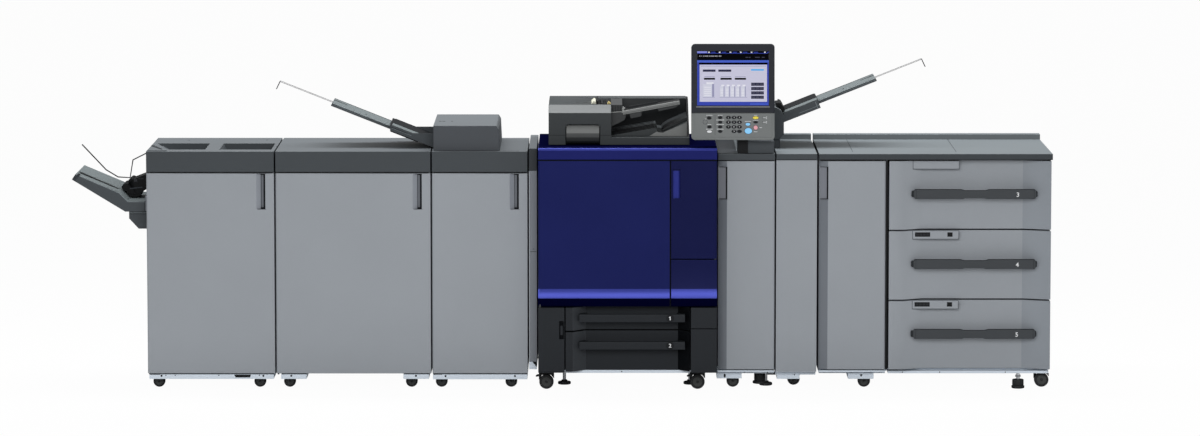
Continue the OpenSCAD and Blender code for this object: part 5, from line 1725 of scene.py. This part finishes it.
@dataclass
class FeederBank(Assembly):
    """Relay units, bypass unit and the three-drawer paper feeder."""

    title: str = "feeder bank"
    back: float = 722.0
    drawer_z: float = 88.0
    pitch: float = 301.33
    drawer_h: float = 295.33
    plate_face: float = 20.0
    sill_z: float = 88.0
    board_z: float = 1016.8

    def build(self) -> None:
        """Skin the housings, doors, drawers and boards."""
        for node in ("conveyor_housing", "bridge_unit", "feeder_side_housing"):
            housing = self.skin(node, PANEL)
            Bench.paint_where(housing, SILL, lambda p, n: p.z < self.sill_z and n.z > -0.8)
        cabinet = self.skin("feeder_cabinet", PANEL, 0.8)
        # painted shade: the cabinet's front faces and the shelves between the drawers, seen through the gaps,
        # are darkened nearly to black
        Bench.paint_where(cabinet, BASE_JOINT_AND_SHADE, lambda p, n: n.y < -0.5)
        Bench.paint_where(cabinet, BASE_JOINT_AND_SHADE, lambda p, n: p.y < 600 and abs(n.z) > 0.5 and p.z < 980)
        Bench.paint_where(cabinet, SILL, lambda p, n: p.z < self.sill_z + 1 and n.y < -0.5)
        for node in ("conveyor_door", "feeder_door"):
            door = self.skin(node, PANEL, 2.0)
            Bench.paint_where(door, PANEL_SHADE, lambda p, n: n.x < -0.1 and n.y < -0.3)
            self.line_grip(node, door)
        boards = self.skin("top_boards", CAP, 1.5)
        lip = self.board_z + 1.2
        # painted light on the boards' upward faces
        Bench.paint_where(boards, BOARD_TOP_LIT, upward)
        Bench.paint_where(boards, LIP, lambda p, n: p.z > lip and n.y < -0.5)
        Bench.paint_where(boards, BOARD_EDGE, lambda p, n: p.z < lip and p.x > 2877 and n.y < -0.5)
        for number in (3, 4, 5):
            front = self.skin(f"drawer_{number}_front", PANEL, 2.0)
            # painted shade on the flank of the drawer front that faces left
            Bench.paint_where(front, FLANK_SHADE, lambda p, n: n.y < -0.1 and n.x < -0.3)
            self.build_handle(number)
            self.skin(f"drawer_{number}_tub", TUB, 0.6)

    def line_grip(self, node: str, door: Piece) -> None:
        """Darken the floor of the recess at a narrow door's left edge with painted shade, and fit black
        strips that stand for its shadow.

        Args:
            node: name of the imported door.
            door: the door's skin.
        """
        corner, far = (LINE.back(Vector(place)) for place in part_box(node))
        left, right, low, high = corner.x + 4.3, corner.x + 38.8, far.z - 165.7, far.z - 25.3

        def recess(p: Vector, n: Vector) -> bool:
            """Tell whether a face is the floor of the recess."""
            return n.y < -0.9 and 17 < p.y < 21 and low - 2 < p.z < high + 2

        Bench.paint_where(door, STRIP_GRIP_SHADE, recess)
        # black strips that stand for the shade along the recess's right side, top and bottom
        lining = [
            ((right - 5.4, right), (17.6, 19.4), (low, high)),
            ((left, right), (17.9, 19.4), (high - 2.6, high)),
            ((left, right), (17.9, 19.4), (low, low + 3.2)),
        ]
        self.blocks(f"{node}_grip_lining", BLACK_AND_SHADE, lining, 0.3, node)

    def floor_of(self, number: int) -> float:
        """Return the height of a drawer front's lower edge."""
        return self.drawer_z + (5 - number) * self.pitch

    def build_handle(self, number: int) -> None:
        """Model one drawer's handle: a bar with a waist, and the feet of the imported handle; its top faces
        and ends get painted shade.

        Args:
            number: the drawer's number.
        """
        middle = self.floor_of(number) + self.drawer_h / 2 + 6
        low, high, waist = middle - 20, middle + 21, middle + 16.5
        feet = Bench.skin(f"drawer_{number}_handle", 1.0)
        cuts = (
            (LINE.at(0, 9, 0), (0.0, 1.0, 0.0)),
            (LINE.at(3274, 0, 0), (1.0, 0.0, 0.0)),
            (LINE.at(0, 0, low + 8), (0.0, 0.0, 1.0)),
            (LINE.at(0, 0, high - 8), (0.0, 0.0, -1.0)),
        )
        for place, way in cuts:
            Bench.divide(feet, place, way, True)
        left, right, corner = 3281, 3806, 6
        outline = [
            (left, low + 8), (left + corner, low), (3490, low), (3502, low + 3), (3580, low + 3),
            (3592, low), (right - corner, low), (right, low + 8), (right, high - 8),
            (right - corner, high), (3604, high), (3588, waist), (3500, waist), (3484, high),
            (left + corner, high), (left, high - 8),
        ]
        bar = Bench.prism("bar", outline, "Y", (-12, 12), 3.0, 3)
        Bench.paint(feet, HANDLE)
        Bench.paint(bar, HANDLE)
        # painted shade on the bar's top faces
        Bench.paint_where(bar, HANDLE_SHADE, lambda p, n: n.z > 0.6)
        sides, tall = ((3272, 3290), (3796, 3811)), (low + 7, high - 7)
        ends = [Bench.block("end", x, (-8, 12), tall, 6.0, 3) for x in sides]
        for x in (3291, 3795):
            ends.append(Bench.block("groove", (x, x + 1.6), (-12.3, 0), (low + 2, high - 2), 0.2, 1))
        tips = Bench.paint(Bench.join("tips", ends), HANDLE_SHADE)
        whole = Bench.join(f"drawer_{number}_bar", [bar, feet, tips])
        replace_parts(whole, f"drawer_{number}_handle")
        self.made.append(Bench.rides(whole, f"drawer_{number}"))

    def dress(self) -> None:
        """Add label plates, numbers, board seams and rear covers."""
        for number in (3, 4, 5):
            z = self.floor_of(number) + self.drawer_h / 2 + 4
            digit = Bench.figure(f"drawer_{number}_number", str(number), (3726, -12.5, z), 19.0, 0.5, 0.5)
            self.add(digit, INK, f"drawer_{number}")
            self.dress_plate(number)
        self.dress_boards()
        self.dress_sides()

    def dress_plate(self, number: int) -> None:
        """Fit the label plate over one drawer's recess, with a window and sensor on the lower two.

        Args:
            number: the drawer's number.
        """
        top, face, body = self.floor_of(number) + self.drawer_h - 1.0, self.plate_face, f"drawer_{number}"
        low, rim, proud = top - 34, (face - 0.4, face + 1), (face - 0.8, face + 1)
        self.block(f"{body}_plate", PANEL, (3280, 3477), (face, face + 24), (low, top), 1.0, body)
        line = [
            ((3278, 3280.4), rim, (low - 1, top)),
            ((3475.4, 3478), rim, (low - 1, top)),
            ((3278, 3478), rim, (low - 2.6, low)),
        ]
        self.blocks(f"{body}_plate_line", PLATE_LINE, line, 0.1, body)
        if number == 3:
            return
        window = [(x, proud, (low + 9, low + 28)) for x in ((3289, 3354), (3428, 3450))]
        self.blocks(f"{body}_window", BLACK_AND_SHADE, window, 0.5, body)
        tick = ((3293, 3305), (face - 1.1, face - 0.6), (low + 14, low + 23))
        ticks = Bench.block(f"{body}_ticks", *tick, 0.1, 1)
        self.add(Bench.copies(ticks, [(15, 0, 0), (30, 0, 0), (45, 0, 0)]), REAR_DARK, body)

    def dress_boards(self) -> None:
        """Draw the seams of the boards and of their edge, and black strips of painted shadow in the gaps
        beside the cabinet.
        """
        joint, width = 3023.0, 1.6
        seams = [((x, x + 2.2), (90, 665), (self.board_z, self.board_z + 0.5)) for x in (joint, 3467.0)]
        self.blocks("board_seams", CAP_DARK_AND_SHADE, seams, 0.1)
        # painted shadow: black strips fill the gaps beside the cabinet
        self.strip("feeder_gap", BLACK_AND_SHADE, (3163, 3170.8), (2.6, 4.2), (89, 985), 0.2)
        self.strip("cabinet_gap", BLACK_AND_SHADE, (3171.2, 3176.6), (60, 70.2), (89, 985), 0.2)
        self.strip("board_edge_joints", CAP, (joint, joint + width), (-4.2, -3.6), (992, 1016))
        lines = [(x, (-4.5, -3.8), (990.6, 993.2)) for x in ((2690, 2867), (2879, 3869))]
        self.blocks("board_gap_lines", BLACK_AND_SHADE, lines, 0.1)

    def dress_sides(self) -> None:
        """Fit side and rear covers with screws and louvres."""
        back = self.back
        self.block("feeder_side_cover", PANEL, (3869.4, 3871.2), (96, 708), (110, 970), 0.7)
        spots = ((112, 128), (690, 128), (112, 953), (690, 953), (401, 128), (401, 953))
        self.screws("feeder_side_screws", [(3871.4, y, z) for y, z in spots], axis="X")
        rears = ((2453, 2680), (2702, 2860), (2886, 3500), (3512, 3858))
        self.blocks("feeder_rear_covers", PANEL, [(x, (back, back + 2.6), (100, 975)) for x in rears], 0.7)
        self.louvres("feeder_louvres", PANEL_SHADE, [(3560, 3810)], (back + 0.5, back + 2.8), 300, 10)
        columns = (2466, 2667, 2715, 2847, 2899, 3206, 3487, 3525, 3845)
        places = [(x, back + 2, z) for x in columns for z in (116, 536, 961)]
        self.screws("feeder_rear_screws", places, (4.5, 1.8))


@dataclass
class Undercarriage(Assembly):
    """Rails, casters, levelling feet and hinge pins."""

    title: str = "undercarriage"
    finishing_depth: float = 638.0
    feeder_depth: float = 725.0
    engine_back: float = 690.0
    inset: float = 101.0

    def build(self) -> None:
        """Model what the line stands on."""
        self.build_rails()
        self.drill_rails()
        self.build_casters()
        self.build_feet()
        self.skin("hinge_pins", PIN, 0.3)

    def build_rails(self) -> None:
        """Model the rails and brackets under the units, and the docking blocks between them."""
        rear, far = self.finishing_depth, self.feeder_depth
        low, high = (46.5, 66), (66, 77)
        spans = [
            ((6, 540), (3, rear), low),
            ((1223, 1628), (3, rear), (45, 66)),
            ((2445, 2688), (40, far), high),
            ((2442, 2549), (38, 200), (44, 68)),
            ((2694, 2866), (40, far), (60, 77)),
            ((2700, 2798), (38, 260), (42, 62)),
            ((2880, 3165), (44, far), high),
            ((3006, 3116), (38, 200), (42, 68)),
            ((3177, 3868), (40, far), high),
            ((1676, 2437), (20, self.engine_back), (77, 87)),
            ((1636, 1669), (6, rear), (88, 122)),
        ]
        spans += [((x, x + 110), (3, 200), low) for x in (571, 1096)]
        spans += [((x, x + 110), (rear - 197, rear), low) for x in (571, 1096)]
        spans += [((x, x + 110), (520, 725), (46, 68)) for x in (2442, 3006)]
        rails = [Bench.block("rail", *span, 0.8) for span in spans]
        docks = [(x, x + 6) for x in (546, 1215, 1630, 1670, 2439, 2688)] + [(2868, 2877)]
        rails += [Bench.block("dock", x, (400, 460), (500, 540), 0.4) for x in docks]
        whole = Bench.join("base_rail_set", rails)
        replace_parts(whole, "base_rails")
        self.add(whole, RAIL)

    def drill_rails(self) -> None:
        """Show the holes, slots and edge lines in the fronts of the rails."""
        finisher, feeder = 2.8, 39.8
        spots = [(x, 62, 2.5) for x in (77, 117, 304, 478)]
        spots = [(58, 60, 4.5), *spots, (495, 60, 4.5), (615, 60, 4.5), (1150, 60, 4.5)]
        spots += [(1277, 59, 4.5), (1575, 59, 4.5)]
        ovals = [((x, finisher, z), (2 * r, 2 * r)) for x, z, r in spots]
        holes = [Bench.disc("hole", place, size, 0.5, 0.1, 16) for place, size in ovals]
        slot = [(370, 65), (442, 65), (438, 53), (376, 53)]
        holes.append(Bench.prism("slot", slot, "Y", (2.6, 3.4), 0.1, 1))
        ovals = [((x, feeder, 71), (5, 5)) for x in (3240, 3400, 3682, 2560, 2660)]
        ovals += [((2476, feeder - 2, 56), (9, 17)), ((2776, feeder - 2, 60), (4, 7))]
        holes += [Bench.disc("hole", place, size, 0.5, 0.1, 16) for place, size in ovals]
        notch = [(3056, 62), (3069, 62), (3062.5, 50)]
        holes.append(Bench.prism("wedge", notch, "Y", (37.6, 38.4), 0.1, 1))
        wedge = [(1637, 121), (1650, 121), (1668, 97), (1668, 121)]
        holes.append(Bench.prism("wedge", wedge, "Y", (5.4, 6.4), 0.1, 1))
        for x in ((1226, 1262), (8, 52)):
            holes.append(Bench.block("line", x, (2.6, 3.4), (64.8, 66), 0.1, 1))
        self.add(Bench.join("rail_holes", holes), BLACK_AND_SHADE)

    def caster(self, x: float, y: float, r: float, top: float, brake: bool = False) -> list[Piece]:
        """Model one caster.

        Args:
            x: middle of the wheel along the line.
            y: middle of the wheel in depth.
            r: radius of the wheel.
            top: height of the rail that carries it.
            brake: whether it has a brake lever.

        Returns:
            Its painted pieces.
        """
        rim, side, crown = 1.06 * r, 0.7 * r, r + 0.9 * r
        made = [
            (Bench.rod("wheel", (x, y, r), r, 23, "Y", 3.0, 40), TYRE),
            (Bench.rod("hub", (x, y, r), 0.66 * r, 25, "Y", 1.2, 32), HUB),
            (Bench.rod("cap", (x, y, r), 0.2 * r, 27.5, "Y", 0.8, 20), TYRE),
        ]
        if top > 2 * r + 4:
            arch = [
                (x - rim, r + 4), (x - rim, top - 9), (x - side, top - 3), (x + side, top - 3),
                (x + rim, top - 9), (x + rim, r + 12), (x + 0.62 * r, crown), (x - 0.62 * r, crown),
            ]
            plate, deep = (x - 0.8 * r, x + 0.8 * r), (y - 20, y + 24)
            made += [
                (Bench.prism("fork", arch, "Y", (y + 3, y + 14), 1.6), TYRE),
                (Bench.rod("swivel", (x, y, top - 3), 0.55 * r, 6.2, "Z", 0.8, 28), STEEL),
                (Bench.block("plate", plate, deep, (top - 3.2, top), 0.8), TYRE),
            ]
        else:
            neck, deep = (x - 0.6 * r, x + 0.6 * r), (y - 8, y + 12)
            made.append((Bench.block("neck", neck, deep, (1.8 * r, top), 1.0), TYRE))
        if brake:
            lever = [
                (x - 0.5 * r, top - 12), (x - 1.25 * r, top - 15), (x - 1.5 * r, top - 20),
                (x - 1.45 * r, top - 24), (x - 0.9 * r, top - 21),
            ]
            made.append((Bench.prism("lever", lever, "Y", (y - 16, y + 6), 1.6), TYRE))
        return [Bench.paint(piece, finish) for piece, finish in made]

    def build_casters(self) -> None:
        """Model the casters under each unit."""
        pieces: list[Piece] = []
        for y in (self.inset, self.finishing_depth - self.inset):
            for x in (41, 476, 604, 1129, 1258, 1558):
                pieces += self.caster(x, y, 25.5, 51)
        for y in (36.0, 628.0):
            for x in (1710, 2359):
                pieces += self.caster(x, y, 31, 77, True)
        for y in (self.inset, self.feeder_depth - self.inset):
            pieces += self.caster(2512, y, 27, 56)
            pieces += self.caster(3077, y, 27, 56)
            pieces += self.caster(2776, y + 62, 27, 61)
            pieces += self.caster(3842, y, 31, 67)
        whole = Bench.join("caster_set", pieces)
        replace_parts(whole, "casters")
        self.made.append(Bench.rides(whole))

    def build_feet(self) -> None:
        """Model the levelling feet: round pads, steel stems and nuts."""
        feeder_x, feeder_y, feeder_top, rail_top = 3738, (55, 665), 67, 77
        places = [(x, y, rail_top) for y in (179, 580) for x in (1786, 2329)]
        places += [(feeder_x, y, feeder_top) for y in feeder_y] + [(2656, y, rail_top) for y in (148, 665)]
        made = []
        for x, y, top in places:
            made += [
                (Bench.rod("pad", (x, y, 6.5), 28, 13, "Z", 4.0, 40), TYRE),
                (Bench.rod("boss", (x, y, 16), 13, 8, "Z", 2.5, 24), TYRE),
                (Bench.rod("stem", (x, y, (20 + top) / 2), 7, top - 20, "Z", 0.5, 20), CHROME),
                (Bench.rod("nut", (x, y, top - 14), 13, 9, "Z", 0.6, 6), STEEL),
            ]
        made += [(Bench.rod("knob", (feeder_x, y, 26), 25, 26, "Z", 3.0, 14), TYRE) for y in feeder_y]
        made += [
            (Bench.block("head", (2606, 2662), (120, 176), (54, 77), 3.0), TYRE),
            (Bench.rod("knob", (2630, 148, 37), 25, 32, "Z", 3.0, 14), TYRE),
            (Bench.rod("pad", (2630, 148, 14), 31, 12, "Z", 4.0, 36), TYRE),
            (Bench.block("plate", (2662, 2700), (122, 170), (48, 56), 2.0), TYRE),
        ]
        whole = Bench.join("levelling_foot_set", [Bench.paint(piece, finish) for piece, finish in made])
        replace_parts(whole, "levelling_feet")
        self.made.append(Bench.rides(whole))


# ---------------- studio


WHITE = (1.0, 1.0, 1.0, 1.0)


@dataclass
class Studio:
    """Floor, world, lamps and camera."""

    world_level: float = 0.3
    gloss_level: float = 0.35
    top_power: float = 152.0
    front_power: float = 655.0
    lens: float = 159.0
    floor_size: float = 120.0
    floor_white: float = 0.82
    floor_glow: float = 0.97
    camera_place: Spot = (0.1665, -22.8465, 3.1746)
    camera_drop: float = 0.107519

    def lay_floor(self) -> Piece:
        """Lay a white floor that keeps the line's shadow.

        Returns:
            The floor.
        """
        bpy.ops.object.select_all(action="DESELECT")
        bpy.ops.mesh.primitive_plane_add(size=self.floor_size, location=(0.0, 0.0, 0.0))
        floor = bpy.context.object
        floor.name = "studio_floor"
        made = bpy.data.materials.new("studio_white")
        made.use_nodes = True
        graph = Graph(made.node_tree)
        matt = graph.node("ShaderNodeBsdfDiffuse", {}, {"Color": (*(self.floor_white,) * 3, 1.0)})
        white = graph.node("ShaderNodeEmission", {}, {"Color": WHITE, "Strength": 1.0})
        share = graph.ray("Is Camera Ray") * self.floor_glow
        graph.end(graph.node("ShaderNodeMixShader", {}, {0: share, 1: matt, 2: white}))
        floor.data.materials.append(made)
        return floor

    def light_world(self) -> None:
        """Fill the world with plain light that the camera sees as white."""
        world = bpy.data.worlds.new("studio")
        bpy.context.scene.world = world
        world.use_nodes = True
        graph = Graph(world.node_tree)
        seen = graph.ray("Is Camera Ray") * (1.0 - self.world_level)
        glossy = graph.ray("Is Glossy Ray") * (self.gloss_level - self.world_level)
        sockets = {"Color": WHITE, "Strength": seen + glossy + self.world_level}
        graph.end(graph.node("ShaderNodeBackground", {}, sockets), "ShaderNodeOutputWorld")

    def hang_lamp(self, name: str, place: Spot, aim: Spot, size: Span, power: float) -> None:
        """Hang one soft area lamp.

        Args:
            name: name of the lamp.
            place: where it hangs, in metres of the row.
            aim: what it points at.
            size: its width and height in metres.
            power: its power in watts.
        """
        data = bpy.data.lights.new(name, "AREA")
        data.shape, data.size, data.size_y, data.energy = "RECTANGLE", size[0], size[1], power
        lamp = bpy.data.objects.new(name, data)
        bpy.context.scene.collection.objects.link(lamp)
        lamp.location = place
        lamp.rotation_euler = (Vector(aim) - Vector(place)).to_track_quat("-Z", "Y").to_euler()

    def place_camera(self) -> None:
        """Place the camera in front of the line, a little above it."""
        data = bpy.data.cameras.new("camera")
        data.lens, data.sensor_width, data.clip_end = self.lens, 36.0, 200.0
        camera = bpy.data.objects.new("camera", data)
        bpy.context.scene.collection.objects.link(camera)
        camera.location = self.camera_place
        camera.rotation_euler = (math.pi / 2 - self.camera_drop, 0.0, 0.0)
        bpy.context.scene.camera = camera

    def build(self) -> None:
        """Set up the studio."""
        bpy.context.scene.view_settings.view_transform = "Standard"
        self.lay_floor()
        self.light_world()
        self.hang_lamp("top_light", (0.0, 0.35, 3.2), (0.0, 0.3, 0.0), (7.0, 0.6), self.top_power)
        self.hang_lamp("front_light", (0.2, -12.0, 4.5), (0.2, 0.0, 0.6), (9.0, 4.0), self.front_power)
        self.place_camera()


def main() -> None:
    """Build the line in order and report each piece."""
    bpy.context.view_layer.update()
    assemblies: list[Assembly] = [
        FinishingUnits(),
        Trays(),
        Engine(),
        DocumentFeeder(),
        ControlPanel(),
        FeederBank(),
        Undercarriage(),
    ]
    for assembly in assemblies:
        assembly.build()
        assembly.dress()
        assembly.report()
    Studio().build()


if __name__ == "__main__":
    main()
